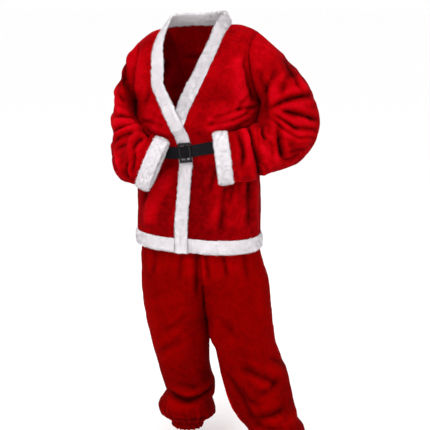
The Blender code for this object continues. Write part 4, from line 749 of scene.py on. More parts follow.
RIGHT_SLEEVE_FRONT = [
    (-0.256, 1.335, -0.194, 1.123, -0.003, -0.0130, 0.012),
    (-0.228, 1.330, -0.200, 1.185, -0.002, 0.0060, 0.013),
    (-0.276, 1.219, -0.210, 1.160, 0.001, -0.0085, 0.010),
    (-0.281, 1.146, -0.189, 1.120, 0.011, -0.0105, 0.010),
    (-0.287, 1.134, -0.191, 1.111, 0.008, 0.0070, 0.013),
    (-0.286, 1.094, -0.209, 1.120, 0.010, -0.0095, 0.009),
    (-0.278, 1.078, -0.199, 1.108, 0.009, 0.0070, 0.013),
    (-0.279, 1.065, -0.212, 1.098, 0.010, -0.0085, 0.009),
    (-0.214, 1.049, -0.178, 1.089, 0.008, -0.0090, 0.009),
    (-0.227, 1.043, -0.190, 1.095, 0.007, 0.0060, 0.012),
    # smaller creases
    (-0.261, 1.290, -0.214, 1.156, -0.003, -0.0085, 0.021),
    (-0.272, 1.187, -0.223, 1.151, 0.001, -0.0050, 0.007),
    (-0.184, 1.114, -0.159, 1.094, 0.003, -0.0150, 0.010),
    (-0.229, 1.013, -0.224, 0.954, -0.010, -0.0080, 0.008),
    (-0.205, 1.047, -0.216, 0.982, 0.002, -0.0070, 0.007),
    (-0.284, 1.022, -0.269, 0.975, 0.000, -0.0055, 0.009),
    (-0.264, 1.055, -0.259, 0.989, -0.007, 0.0060, 0.012),
    (-0.262, 1.242, -0.236, 1.210, 0.002, 0.0040, 0.010),
    (-0.268, 1.040, -0.232, 1.062, 0.006, -0.0045, 0.007),
    (-0.248, 1.020, -0.243, 0.965, -0.005, -0.0050, 0.008),
    (-0.205, 0.960, -0.180, 1.030, 0.003, 0.0040, 0.009),
]
RIGHT_SLEEVE_BACK = [
    (-0.300, 1.230, -0.240, 1.215, 0.000, 0.0063, 0.0198),
    (-0.310, 1.180, -0.235, 1.170, 0.000, -0.0077, 0.0154),
    (-0.315, 1.130, -0.240, 1.130, 0.000, 0.0070, 0.0198),
    (-0.310, 1.080, -0.240, 1.095, 0.000, -0.0077, 0.0154),
    (-0.300, 1.030, -0.240, 1.060, 0.000, 0.0063, 0.0176),
    # smaller creases
    (-0.290, 1.290, -0.250, 1.240, 0.003, -0.0045, 0.010),
    (-0.300, 1.200, -0.250, 1.195, 0.004, -0.0045, 0.009),
    (-0.305, 1.150, -0.250, 1.150, 0.004, -0.0045, 0.009),
    (-0.300, 1.055, -0.245, 1.075, 0.004, -0.0045, 0.009),
    (-0.280, 1.000, -0.230, 1.040, 0.004, -0.0045, 0.009),
    (-0.250, 0.970, -0.200, 1.050, 0.004, 0.0045, 0.010),
]


def clear_of_body(rings):
    """Rings with the points that would lie in the body, or less than the clearance off it, moved out,
    then evened out along the sleeve. A point is as far out as
    ((across / width)^n + (forward / depth)^n)^(1/n), which is 1 on the body."""
    row = np.arange(len(rings))[:, None]
    place = row * 3.0 / RINGS_PER_STATION
    clearance = np.interp(place, np.arange(len(SLEEVE_CLEARANCE)), SLEEVE_CLEARANCE)
    flat = rings - BODY_CENTRE
    across, forward = flat @ ACROSS, flat @ FORWARD
    height = rings[..., 2] - smooth(BODY["height"], BODY["lean"], rings[..., 2]) * across
    width = smooth(BODY["height"], BODY["half_width"], height) + clearance
    front = smooth(BODY["height"], BODY["front"], height) + clearance
    behind = smooth(BODY["height"], BODY["back"], height) + clearance
    depth = np.where(forward > 0, front, behind)
    powers = np.abs(across / width) ** SQUARENESS + np.abs(forward / depth) ** SQUARENESS
    push = np.where(row > 0, np.maximum(powers ** (-1 / SQUARENESS), 1.0), 1.0) - 1
    moved = rings + (push * across)[..., None] * ACROSS + (push * forward)[..., None] * FORWARD
    for _ in range(EVENING_PASSES):
        moved[2:-1] = (moved[1:-2] + 2 * moved[2:-1] + moved[3:]) / 4
    return moved


def sleeve_rings(side, stations):
    """Rings from the armhole to the cuff seam, each from the underarm round the front and back again."""
    shares = np.linspace(0, 1, HALF_RING + 1)
    front = armhole(side, ARMHOLE_FRONT, shares)
    behind = armhole(side, ARMHOLE_BACK, shares)
    loop = np.vstack([front, behind[1:-1][::-1]])
    inner = np.stack([stations["in_x"], stations["in_y"], stations["in_h"]], -1)
    outer = np.stack([stations["out_x"], stations["out_y"], stations["out_h"]], -1)
    centre, reach = (inner + outer) / 2, (outer - inner) / 2
    turn = np.radians(stations["turn"])
    ahead = np.stack([-np.sin(turn), -np.cos(turn), 0 * turn], -1)
    along = unit(reach)
    ahead = unit(ahead - (ahead * along).sum(-1, keepdims=True) * along) * stations["half_depth"][:, None]
    angle = math.pi * np.arange(2 * HALF_RING) / HALF_RING
    power = 2 / 2.15
    cosine = np.sign(np.cos(angle)) * np.abs(np.cos(angle)) ** power
    sine = np.sign(np.sin(angle)) * np.abs(np.sin(angle)) ** power
    rings = centre[:, None] - reach[:, None] * cosine[:, None] + ahead[:, None] * sine[:, None]
    stack = np.concatenate([loop[None], rings])
    count = len(stack)
    rows = np.linspace(0, count - 1, (count - 1) * RINGS_PER_STATION + 1)
    flat = smooth(np.arange(count), stack.reshape(count, -1), rows)
    return clear_of_body(flat.reshape(len(rows), 2 * HALF_RING, 3))


def dress_sleeve(name, node, side, stations, front_rows, back_rows, seed):
    """A sleeve with its creases, which die out at the armhole and cuff and next to the body. Troughs
    reach further round towards the body than ridges do. It is painted darker all over as painted shade,
    most of all on the upper arm, with a painted highlight beside the armhole seam."""
    grid = sleeve_rings(side, stations)
    middle = grid.mean(1, keepdims=True)
    normals = outward_normals(grid, middle, wrap=True)
    row = np.arange(len(grid))
    last = len(grid) - 1
    held = ease(row / 20) * ease((last - row) / 10)
    outer = held[:, None] * ease((normals[..., 0] * side + 0.55) / 0.6)
    whole = held[:, None] * ease((normals[..., 0] * side + 0.95) / 0.35)
    folds, shade = creases(grid, normals, front_rows, -1) + creases(grid, normals, back_rows, 1)
    folds, shade = folds * np.where(folds < 0, whole, outer), shade * whole
    uneven = 0.0012 * lumps(grid, 0.050, seed) + 0.0005 * lumps(grid, 0.018, seed + 1)
    ends = edge_distance(grid, ["first_row"])
    dip = SEAM_DIP * np.exp(-((ends / 0.006) ** 2))
    moved = folds + uneven * held[:, None] - dip
    shaped = grid + normals * moved[..., None]
    # Painted shade all over, most on the upper arm, and a painted highlight beside the armhole seam
    upper = ease((grid[..., 2] - 1.18) / 0.08)
    streaks_and_painted_shade = -0.12 - upper * (0.20 - 0.75 * ease(1 - row / 26)[:, None])
    painted_shade_and_seams = np.clip(shade + streaks_and_painted_shade - dip / SEAM_DIP * SEAM_SHADE, -1.5, 1)
    facing = outward_normals(shaped, shaped.mean(1, keepdims=True), wrap=True)
    piece = cloth_piece(name, shaped, facing, painted_shade_and_seams, red_plush, wrap=True)
    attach(piece, "root")
    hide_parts(node)
    return piece, shaped


left_sleeve, left_arm = dress_sleeve(
    "left_sleeve_cloth", "sleeve_left", 1, LEFT_SLEEVE, LEFT_SLEEVE_FRONT, LEFT_SLEEVE_BACK, 21
)
right_sleeve, right_arm = dress_sleeve(
    "right_sleeve_cloth", "sleeve_right", -1, RIGHT_SLEEVE, RIGHT_SLEEVE_FRONT, RIGHT_SLEEVE_BACK, 31
)


# Fur bands of the fronts and neck
# Folded strips of white fur cloth, 44 mm wide, sewn to the front edges and round the neck, where they
# stand up as a low collar. The right one laps over the left one and is pressed flat by the belt.
FUR_SECTION = [  # out from the seam, off the cloth
    (0.0003, 0.0012), (0.003, 0.0028), (0.008, 0.0040), (0.018, 0.0048), (0.030, 0.0044), (0.038, 0.0032),
    (0.0425, 0.0008), (0.0415, -0.0012), (0.036, -0.0022), (0.022, -0.0026), (0.0003, -0.0012),
]
PRESSED = 0.20  # loft of the fur where the right front covers it
STRAND_WIDTH = 0.0009
FUR_SPACING = 0.0045  # between the rows of a band's grid


def refined(line, spacing):
    """A smooth line through the same points, with rows about spacing apart."""
    gone = np.concatenate([[0], np.cumsum(np.linalg.norm(np.diff(line[:, :3], axis=0), axis=1))])
    rows = np.linspace(0, gone[-1], int(round(gone[-1] / spacing)) + 1)
    return smooth(gone, line, rows)


def edge_frame(edge, beside, normals):
    """Directions out of a panel's edge, square to the edge and to the normals there."""
    outward = np.cross(unit(np.gradient(edge, axis=0)), normals)
    return unit(outward) * np.sign((outward * (edge - beside)).sum(-1, keepdims=True))


def settle(vectors, passes):
    """Directions evened out along their line, with the two ends kept."""
    for _ in range(passes):
        middle = (vectors[:-2] + 2 * vectors[1:-1] + vectors[2:]) / 4
        vectors = np.vstack([vectors[:1], middle, vectors[-1:]])
    return unit(vectors)


def fall_away(side, edge, heights):
    """How far the body falls away from a straight band by the band's far edge, at each height."""
    heights = np.minimum(heights, UNDERARM)
    across = smooth(edge["height"], edge["across"], heights)
    near = angle_at(across, heights)
    far = angle_at(across - side * FUR_WIDTH, heights)
    step = 0.01
    tangent = unit(body_ring(near + step, heights) - body_ring(near - step, heights))
    out = unit(np.cross(UP, tangent))
    out *= np.sign((out * FORWARD).sum(-1, keepdims=True))
    drop = ((body_ring(near, heights) - body_ring(far, heights)) * out).sum(-1)
    return np.maximum(drop, 0.0)


def swept(seam, outward, normal, section, loft=1.0, bend=0.0):
    """A section carried along the seam: rows along the seam, columns round the section. Each point is
    seam + out x outward + rise x normal; the rise is lofted, and bent down by the square of the
    distance out."""
    count = len(seam)
    out, off = np.array(section).T
    rise = np.where(off > 0, off * np.broadcast_to(loft, count)[:, None], off)
    rise = rise - np.broadcast_to(bend, count)[:, None] * (out / out.max()) ** 2
    return seam[:, None] + outward[:, None] * out[:, None] + normal[:, None] * rise[..., None]


def fur_piece(name, grid, count, length, comb, closed, seed, material, keep_off=None):
    """A swept form of fur cloth with its pile. The form is closed round its section and, when it isn't
    a ring, at its two ends. Each strand is a thin blade from a point of the surface, between the
    surface's normal, the comb direction and a random one, with the surface's own shading."""
    rng = np.random.default_rng(seed)
    rows, cols = grid.shape[:2]
    wrapped = np.concatenate([grid, grid[:, :1]], axis=1)
    around = np.gradient(np.concatenate([grid[:, -1:], wrapped, grid[:, 1:2]], axis=1), axis=1)[:, 1:-2]
    along = np.roll(grid, -1, 0) - np.roll(grid, 1, 0) if closed else np.gradient(grid, axis=0)
    normals = unit(np.cross(along, around))
    outside = grid - grid.mean(1, keepdims=True)
    normals *= np.sign((normals * outside).sum())
    bumpy = 0.0008 * lumps(grid, 0.020, seed) + 0.0003 * lumps(grid, 0.009, seed + 1)
    grid = grid + normals * bumpy[..., None]
    index = np.arange(rows * cols).reshape(rows, cols)
    index = np.hstack([index, index[:, :1]])
    if closed:
        index = np.vstack([index, index[:1]])
    quads = np.stack([index[:-1, :-1], index[:-1, 1:], index[1:, 1:], index[1:, :-1]], -1).reshape(-1, 4)
    flat, flat_normals = grid.reshape(-1, 3), normals.reshape(-1, 3)
    corner = flat[quads]
    facing = np.cross(corner[:, 2] - corner[:, 0], corner[:, 3] - corner[:, 1])
    if (facing * flat_normals[quads[:, 0]]).sum() < 0:
        quads = quads[:, ::-1]
    area = np.linalg.norm(facing, axis=1)
    if keep_off is not None:
        area = area * (1 - keep_off(corner.mean(1)))
    chosen = rng.choice(len(quads), size=count, p=area / area.sum())
    u, v = rng.random((2, count, 1))
    weights = np.concatenate([(1 - u) * (1 - v), u * (1 - v), u * v, (1 - u) * v], axis=1)[..., None]
    root = (flat[quads[chosen]] * weights).sum(1)
    lift = unit((flat_normals[quads[chosen]] * weights).sum(1))
    wander = rng.normal(size=(count, 3))
    flow = np.stack([lumps(root, 0.018, seed + 5 + k) for k in range(3)], -1)
    lean = wander * 0.55 + flow + comb
    lean = lean - (lean * lift).sum(-1, keepdims=True) * lift
    way = unit(lift * rng.uniform(0.35, 0.8, (count, 1)) + lean * 0.75)
    side = unit(np.cross(way, lift + 0.3 * rng.normal(size=(count, 3)))) * STRAND_WIDTH / 2
    tip = root + way * length * rng.uniform(0.6, 1.25, (count, 1))
    root = root - lift * 0.0004
    strands = np.stack([root - side, root + side, tip], 1).reshape(-1, 3)
    first = len(flat)
    blades = first + np.arange(3 * count).reshape(-1, 3)
    points = np.vstack([flat, strands])
    points[:, 2] -= HELD_AT
    faces = [list(q) for q in quads.tolist()] + blades.tolist()
    if not closed:
        faces += [index[0, :-1].tolist(), index[-1, :-1][::-1].tolist()]
    # Painted shade on the fur cloth and the strands' roots, lighter at the tips
    painted_shade_and_seams = np.concatenate([np.full(first, -0.6), np.tile([-0.5, -0.5, 1.0], count)])
    mesh = bpy.data.meshes.new(name)
    mesh.from_pydata(points.tolist(), [], faces)
    mesh.attributes.new("painted_shade_and_seams", "FLOAT", "POINT").data.foreach_set("value", painted_shade_and_seams.astype(np.float32))
    mesh.materials.append(material)
    mesh.shade_smooth()
    shading = np.vstack([flat_normals, np.repeat(unit(lift + 0.25 * wander), 3, axis=0)])
    mesh.normals_split_custom_set_from_vertices(shading.tolist())
    piece = bpy.data.objects.new(name, mesh)
    bpy.context.scene.collection.objects.link(piece)
    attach(piece, "root")
    return piece


def fur(name, root_shade, tip_shade):
    """White fur: the roots lie in the shade of the pile and the tips are bright, with faint clumps."""
    material, tree, shader = new_material(name)
    place = tree.nodes.new("ShaderNodeTexCoord").outputs["Object"]
    painted_shade_and_seams_attribute = tree.nodes.new("ShaderNodeAttribute")
    painted_shade_and_seams_attribute.attribute_name = "painted_shade_and_seams"
    clumps = noise(tree, place, 120.0, 3.0, 0.6, 0.5)
    fine = noise(tree, place, 700.0, 2.0, 0.7)
    tone = maths(tree, "MULTIPLY", painted_shade_and_seams_attribute.outputs["Fac"], 0.28)
    tone = maths(tree, "ADD", tone, maths(tree, "MULTIPLY", maths(tree, "SUBTRACT", clumps, 0.5), 0.4))
    tone = maths(tree, "ADD", tone, maths(tree, "MULTIPLY", maths(tree, "SUBTRACT", fine, 0.5), 0.2))
    tone = maths(tree, "ADD", tone, 0.6)
    tree.links.new(ramp(tree, tone, [(0.1, root_shade), (0.75, tip_shade)]), shader.inputs["Base Color"])
    tree.links.new(bump(tree, clumps, 0.35, 0.0015), shader.inputs["Normal"])
    shader.inputs["Roughness"].default_value = 0.95
    shader.inputs["Specular IOR Level"].default_value = 0.15
    shader.inputs["Sheen Weight"].default_value = 0.6
    shader.inputs["Sheen Roughness"].default_value = 0.5
    shader.inputs["Sheen Tint"].default_value = (1.0, 0.97, 0.99, 1.0)
    return material


white_fur = fur("white_fur", (0.85, 0.81, 0.84), (0.99, 0.95, 0.98))


def front_band(name, node, side, panel, panel_normals, edge, seed):
    """The fur band of one side: up the front edge, round the neck and on to the centre back."""
    half = back.shape[1] // 2
    neck = slice(FRONT_COLUMNS + 1, half + 1)
    if side < 0:
        neck = slice(half, back.shape[1] - FRONT_COLUMNS - 1)
    top, top_normals, top_beside = back[-1, neck], back_normals[-1, neck], back[-2, neck]
    if side < 0:
        top, top_normals, top_beside = top[::-1], top_normals[::-1], top_beside[::-1]
    foot_height = np.linspace(HEM, HEM + HEM_FUR, 12)[:-1]
    foot_angle = angle_at(smooth(edge["height"], edge["across"], foot_height), foot_height)
    inset = underlap(foot_angle, foot_height) if side > 0 else 0.0
    foot = body_ring(foot_angle, foot_height, inset)
    foot_beside = body_ring(foot_angle + side * 0.03, foot_height, inset)
    rows = len(panel) + len(foot)
    seam = np.vstack([foot, panel[:, -1], top])
    beside = np.vstack([foot_beside, panel[:, -2], top_beside])
    foot_normals = np.repeat(panel_normals[:1, -1], len(foot), 0)
    normal = settle(np.vstack([foot_normals, panel_normals[:, -1], top_normals]), 4)
    out = np.vstack([
        edge_frame(seam[:rows], beside[:rows], normal[:rows]),
        edge_frame(seam[rows - 1 :], beside[rows - 1 :], normal[rows - 1 :])[1:],
    ])
    climb = ease((seam[:, 2] - 1.26) / 0.16)[:, None]
    out = settle(out + climb * (0.95 * UP), 24)
    middle_line = unit(ACROSS + smooth(BODY["height"], BODY["lean"], seam[-1, 2]) * UP)
    out[-1] = unit(out[-1] - (out[-1] @ middle_line) * middle_line)
    packed = refined(np.hstack([seam, out, normal]), FUR_SPACING)
    seam, out, normal = packed[:, :3], unit(packed[:, 3:6]), packed[:, 6:]
    normal = unit(normal - (normal * out).sum(-1, keepdims=True) * out)
    height = seam[:, 2]
    bend = fall_away(side, edge, height) * (out @ ACROSS) ** 2 * ease((1.30 - height) / 0.10)
    loft = 1 - (1 - PRESSED) * ease((1.165 - height) / 0.04) if side > 0 else 1.0
    loft = loft * (1 - 0.45 * np.exp(-(((height - BELT_AT) / 0.022) ** 2)))
    grid = swept(seam, out, normal, FUR_SECTION, loft, bend)

    def covered(place):
        """1 where the right front lies over the left band, so it has no standing pile there."""
        return ease((1.150 - place[:, 2]) / 0.02) if side > 0 else np.zeros(len(place))

    comb = np.array([0.0, 0.0, -0.35])
    piece = fur_piece(name, grid, 60000, 0.0052, comb, False, seed, white_fur, covered)
    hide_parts(node)
    return piece


spine = back * UP + BODY_CENTRE
back_normals = outward_normals(back, spine)
left_normals = outward_normals(left_front, left_front * UP + BODY_CENTRE)
right_normals = outward_normals(right_front, right_front * UP + BODY_CENTRE)
left_fur = front_band("left_front_fur", "front_band_left", 1, left_front, left_normals, LEFT_EDGE, 41)
right_fur = front_band("right_front_fur", "front_band_right", -1, right_front, right_normals, RIGHT_EDGE, 43)

# Hem fur
# One strip of the same fur round the jacket's lower edge, 48 mm deep, whose ends lie under the front bands.
HEM_SECTION = [
    (0.0003, 0.0012), (0.004, 0.0034), (0.012, 0.0048), (0.024, 0.0056), (0.036, 0.0050), (0.043, 0.0032),
    (0.0465, 0.0004), (0.0450, -0.0018), (0.040, -0.0030), (0.022, -0.0034), (0.0003, -0.0012),
]


def hem_band():
    """The strip from the left front's band round the back to the right front's."""
    seam = np.vstack([left_front[0][::-1], back[0][1:-1], right_front[0]])
    normal = np.vstack([left_normals[0][::-1], back_normals[0][1:-1], right_normals[0]])
    across, forward = (seam - BODY_CENTRE) @ ACROSS, (seam - BODY_CENTRE) @ FORWARD
    lean = smooth(BODY["height"], BODY["lean"], np.full(len(seam), HEM)) * across
    ease_out = np.where(forward[:, None] > 0, 1.0, 0.8) * 0.0016
    bottom = seam + normal * ease_out
    bottom[:, 2] = HEM + lean
    out = unit(bottom - seam)
    on_left = np.arange(len(seam)) < left_front.shape[1]
    free_edge = FUR_WIDTH - 0.040
    hidden = ease((free_edge + 0.030 - across) / 0.030) * (forward > 0) * on_left
    packed = refined(np.hstack([seam, out, normal, hidden[:, None]]), FUR_SPACING)
    seam, out, normal, hidden = packed[:, :3], unit(packed[:, 3:6]), packed[:, 6:9], packed[:, 9]
    normal = unit(normal - (normal * out).sum(-1, keepdims=True) * out)
    return swept(seam, out, normal, HEM_SECTION, 1 - (1 - PRESSED) * np.clip(hidden, 0, 1))


hem_fur = fur_piece("hem_fur", hem_band(), 70000, 0.0055, np.array([0.0, 0.0, -0.5]), False, 51, white_fur)
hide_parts("hem_band")

# Cuffs
# Rings of the same fur, 48 mm deep, that carry on in the line of each sleeve.
CUFF_SECTION = [
    (0.0003, 0.0012), (0.003, 0.0036), (0.011, 0.0052), (0.023, 0.0060), (0.036, 0.0052), (0.043, 0.0032),
    (0.0462, 0.0004), (0.0448, -0.0016), (0.040, -0.0028), (0.022, -0.0032), (0.0003, -0.0012),
]


def cuff(name, node, rings, seed):
    """A fur ring whose rows run round the wrist and whose section runs out from the sleeve's last ring."""
    seam = rings[-1]
    middle = seam.mean(0)
    spoke = seam - middle
    axis = unit(np.cross(spoke, np.roll(spoke, -1, axis=0)).sum(0))
    axis = axis * np.sign(axis @ (middle - rings[-16].mean(0)))
    out = np.broadcast_to(axis, seam.shape)
    normal = unit(spoke - (spoke * out).sum(-1, keepdims=True) * out)
    grid = swept(seam, out, normal, CUFF_SECTION)
    piece = fur_piece(name, grid, 26000, 0.0055, axis * 0.4, True, seed, white_fur)
    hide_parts(node)


cuff("left_cuff_fur", "cuff_left", left_arm, 61)
cuff("right_cuff_fur", "cuff_right", right_arm, 63)

# Belt strap
# Black woven webbing, 40 mm wide and 2.2 mm thick, worn over the front fur and threaded through the
# buckle. It is woven in fine ribs that run along it, with a firm rounded edge.
STRAP_WIDTH = 0.0400
STRAP_THICKNESS = 0.0022
BUCKLE_ACROSS = -0.005
STRAP_OFF_CLOTH = 0.0029
STRAP_OFF_FUR = 0.0074
STRAP_RISE = 0.015  # the strap is higher on the wearer's left of the buckle
THREADED = 0.0034  # how far the buckle's middle bar pushes the strap out


def buckle_place():
    """The point of the strap's inner side behind the buckle, and the way the buckle faces."""
    height = np.array(BELT_AT)
    angle = angle_at(np.array(BUCKLE_ACROSS), height)
    here = body_ring(angle, height)
    tangent = unit(body_ring(angle + 0.02, height) - body_ring(angle - 0.02, height))
    face = unit(np.cross(UP, tangent))
    face = face * np.sign(face @ FORWARD)
    return here + face * STRAP_OFF_FUR, face


def strap_line(count):
    """The strap's inner line round the waist: out over the front fur, then flat through the buckle."""
    angle = np.linspace(-math.pi, math.pi, count, endpoint=False)
    line = body_ring(angle, np.full(count, BELT_AT))
    tangent = unit(np.roll(line, -1, axis=0) - np.roll(line, 1, axis=0))
    normal = unit(np.cross(tangent, UP))
    normal *= np.sign((normal * (line - BODY_CENTRE)).sum(-1, keepdims=True))
    across = (line - BODY_CENTRE) @ ACROSS
    front = ease(((line - BODY_CENTRE) @ FORWARD) / 0.05)
    line = line + UP * (STRAP_RISE * front * ease((across + 0.040) / 0.15))[:, None]
    near = front * ease((0.110 - np.abs(across - BUCKLE_ACROSS)) / 0.045)
    line = line + normal * (STRAP_OFF_CLOTH + (STRAP_OFF_FUR - STRAP_OFF_CLOTH) * near)[:, None]
    middle, face = buckle_place()
    flat = line + face * ((middle - line) @ face)[:, None] + face * THREADED
    share = front * ease((0.068 - np.abs(across - BUCKLE_ACROSS)) / 0.026)
    line = line + (flat - line) * share[:, None]
    return line, unit(normal + (face - normal) * share[:, None])


def webbing():
    """Ribs across the strap from its UV map: u runs along the strap and v across it, both in metres."""
    material, tree, shader = new_material("black_webbing")
    strap_map = tree.nodes.new("ShaderNodeUVMap")
    strap_map.uv_map = "weave"
    split = tree.nodes.new("ShaderNodeSeparateXYZ")
    tree.links.new(strap_map.outputs["UV"], split.inputs["Vector"])
    ribs = maths(tree, "SINE", maths(tree, "MULTIPLY", split.outputs["Y"], 2 * math.pi / 0.0022), 0.0)
    picks = maths(tree, "SINE", maths(tree, "MULTIPLY", split.outputs["X"], 2 * math.pi / 0.0014), 0.0)
    weave = maths(tree, "ADD", ribs, maths(tree, "MULTIPLY", picks, 0.6))
    place = tree.nodes.new("ShaderNodeTexCoord").outputs["Object"]
    lint = noise(tree, place, 240.0, 3.0, 0.6)
    tone = maths(tree, "ADD", maths(tree, "MULTIPLY", weave, 0.12), lint)
    shades = [(0.30, (0.003, 0.002, 0.004)), (0.80, (0.012, 0.010, 0.013))]
    tree.links.new(ramp(tree, tone, shades), shader.inputs["Base Color"])
    tree.links.new(bump(tree, weave, 0.6, 0.0004), shader.inputs["Normal"])
    shader.inputs["Roughness"].default_value = 0.62
    shader.inputs["Specular IOR Level"].default_value = 0.12
    return material


black_webbing = webbing()


def strap():
    """The rounded section of the strap carried round the strap line, with its weave map."""
    line, normal = strap_line(300)
    half, deep, soft = STRAP_WIDTH / 2, STRAP_THICKNESS, 0.0007
    section = np.array([
        (-half + soft, 0.0), (-half, soft), (-half, deep - soft), (-half + soft, deep),
        *[(v, deep) for v in np.linspace(-half + 0.004, half - 0.004, 9)],
        (half - soft, deep), (half, deep - soft), (half, soft), (half - soft, 0.0),
    ])
    grid = line[:, None] + UP * section[:, 0, None] + normal[:, None] * section[:, 1, None]
    rows, cols = grid.shape[:2]
    index = np.arange(rows * cols).reshape(rows, cols)
    index = np.hstack([index, index[:, :1]])
    index = np.vstack([index, index[:1]])
    quads = np.stack([index[:-1, :-1], index[1:, :-1], index[1:, 1:], index[:-1, 1:]], -1).reshape(-1, 4)
    flat = grid.reshape(-1, 3)
    corner = flat[quads]
    facing = np.cross(corner[:, 2] - corner[:, 0], corner[:, 3] - corner[:, 1])
    middle = np.repeat(grid.mean(1), cols, axis=0)
    if (facing * (corner.mean(1) - middle[quads[:, 0]])).sum() < 0:
        quads = quads[:, ::-1]
    points = flat - HELD_AT * UP
    piece = new_piece("belt_webbing", points, quads, black_webbing, np.zeros(len(points)))
    gone = np.concatenate([[0], np.cumsum(np.linalg.norm(np.diff(line, axis=0), axis=1))])
    u = np.repeat(gone, cols)
    v = np.tile(section[:, 0], rows)
    corners = quads.ravel()
    across_join = np.abs(u[quads] - u[quads].mean(1, keepdims=True)).max(1) > gone[-1] / 3
    lap = np.where(across_join[:, None] & (u[quads] < gone[-1] / 2), gone[-1] + 0.003, 0.0).ravel()
    weave_map = piece.data.uv_layers.new(name="weave")
    weave_map.data.foreach_set("uv", np.stack([u[corners] + lap, v[corners]], -1).ravel().astype(np.float32))
    piece.data.set_sharp_from_angle(angle=math.radians(40))
    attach(piece, "root")
    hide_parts("belt_strap")


strap()

# Buckle
# A moulded slide of black plastic that the strap is threaded through. The solid's own shape is kept.
def moulded_plastic():
    """Satin black plastic: a fine moulded grain, and fine scuffs where it is rubbed."""
    material, tree, shader = new_material("black_plastic")
    place = tree.nodes.new("ShaderNodeTexCoord").outputs["Object"]
    grain = noise(tree, place, 1600.0, 2.0, 0.6)
    scuffs = noise(tree, place, 90.0, 4.0, 0.7, 2.0)
    shades = [(0.35, (0.003, 0.003, 0.004)), (0.75, (0.011, 0.011, 0.013))]
    tree.links.new(ramp(tree, scuffs, shades), shader.inputs["Base Color"])
    rough = ramp(tree, scuffs, [(0.3, (0.30, 0.30, 0.30)), (0.7, (0.46, 0.46, 0.46))])
    tree.links.new(rough, shader.inputs["Roughness"])
    tree.links.new(bump(tree, grain, 0.25, 0.0003), shader.inputs["Normal"])
    shader.inputs["Specular IOR Level"].default_value = 0.28
    return material


black_plastic = moulded_plastic()
for buckle_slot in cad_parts["buckle"].material_slots:
    buckle_slot.material = black_plastic

# Trousers
# Four panels of a darker, flatter plush with an elastic waist hidden under the jacket. They hang
# straight, gather under the jacket's hem and are drawn in above the feet by elastic in the hems.
CROTCH = 0.455
FORK = 0.17  # height of the fold between the legs, above the crotch
WAIST_TOP = 0.985
LEG_COLUMNS = "height side_x side_y inner_x inner_y front back tilt"
RIGHT_LEG = table(
    LEG_COLUMNS,
    [
        (0.064, -0.093, -0.080, 0.004, -0.080, 0.056, 0.056, 0.06),
        (0.076, -0.102, -0.080, 0.010, -0.080, 0.060, 0.060, 0.06),
        (0.088, -0.101, -0.080, 0.009, -0.080, 0.056, 0.056, 0.06),
        (0.101, -0.122, -0.079, 0.036, -0.079, 0.078, 0.074, 0.06),
        (0.118, -0.142, -0.076, 0.052, -0.076, 0.096, 0.090, 0.05),
        (0.140, -0.147, -0.072, 0.046, -0.072, 0.100, 0.094, 0.04),
        (0.163, -0.134, -0.066, 0.040, -0.066, 0.094, 0.090, 0.03),
        (0.186, -0.120, -0.061, 0.048, -0.061, 0.092, 0.088, 0.02),
        (0.212, -0.127, -0.056, 0.050, -0.056, 0.096, 0.092, 0.0),
        (0.248, -0.139, -0.047, 0.038, -0.047, 0.098, 0.096, 0.0),
        (0.290, -0.150, -0.037, 0.030, -0.037, 0.100, 0.100, 0.0),
        (0.350, -0.168, -0.024, 0.030, -0.020, 0.104, 0.108, 0.0),
        (0.376, -0.175, -0.018, 0.034, -0.002, 0.107, 0.112, 0.0),
        (0.400, -0.181, -0.014, 0.0325, 0.014, 0.109, 0.116, 0.0),
        (0.420, -0.186, -0.011, 0.0265, 0.020, 0.111, 0.119, 0.0),
        (0.437, -0.190, -0.009, 0.0190, 0.012, 0.112, 0.121, 0.0),
        (0.448, -0.192, -0.008, 0.0135, 0.003, 0.113, 0.122, 0.0),
        (CROTCH, -0.193, -0.008, 0.0165, 0.0, 0.114, 0.123, 0.0),
    ],
)
LEFT_LEG = table(
    LEG_COLUMNS,
    [
        (0.046, 0.326, -0.302, 0.222, -0.302, 0.056, 0.056, 0.26),
        (0.060, 0.331, -0.300, 0.217, -0.300, 0.060, 0.060, 0.26),
        (0.074, 0.330, -0.298, 0.220, -0.298, 0.057, 0.057, 0.26),
        (0.089, 0.347, -0.290, 0.192, -0.290, 0.082, 0.076, 0.26),
        (0.107, 0.352, -0.276, 0.172, -0.276, 0.098, 0.092, 0.24),
        (0.132, 0.345, -0.256, 0.157, -0.256, 0.100, 0.096, 0.20),
        (0.160, 0.325, -0.232, 0.128, -0.232, 0.098, 0.096, 0.17),
        (0.195, 0.315, -0.205, 0.101, -0.205, 0.099, 0.098, 0.14),
        (0.235, 0.308, -0.176, 0.085, -0.176, 0.101, 0.100, 0.10),
        (0.288, 0.295, -0.142, 0.069, -0.142, 0.103, 0.104, 0.06),
        (0.324, 0.280, -0.120, 0.060, -0.120, 0.106, 0.108, 0.03),
        (0.360, 0.262, -0.098, 0.050, -0.094, 0.110, 0.112, 0.0),
        (0.380, 0.257, -0.087, 0.036, -0.084, 0.112, 0.115, 0.0),
        (0.400, 0.254, -0.076, 0.0300, -0.068, 0.113, 0.118, 0.0),
        (0.420, 0.252, -0.066, 0.0272, -0.046, 0.114, 0.120, 0.0),
        (0.437, 0.250, -0.056, 0.0256, -0.020, 0.115, 0.122, 0.0),
        (0.448, 0.249, -0.051, 0.0200, -0.004, 0.115, 0.123, 0.0),
        (CROTCH, 0.248, -0.048, 0.0165, 0.0, 0.115, 0.123, 0.0),
    ],
)
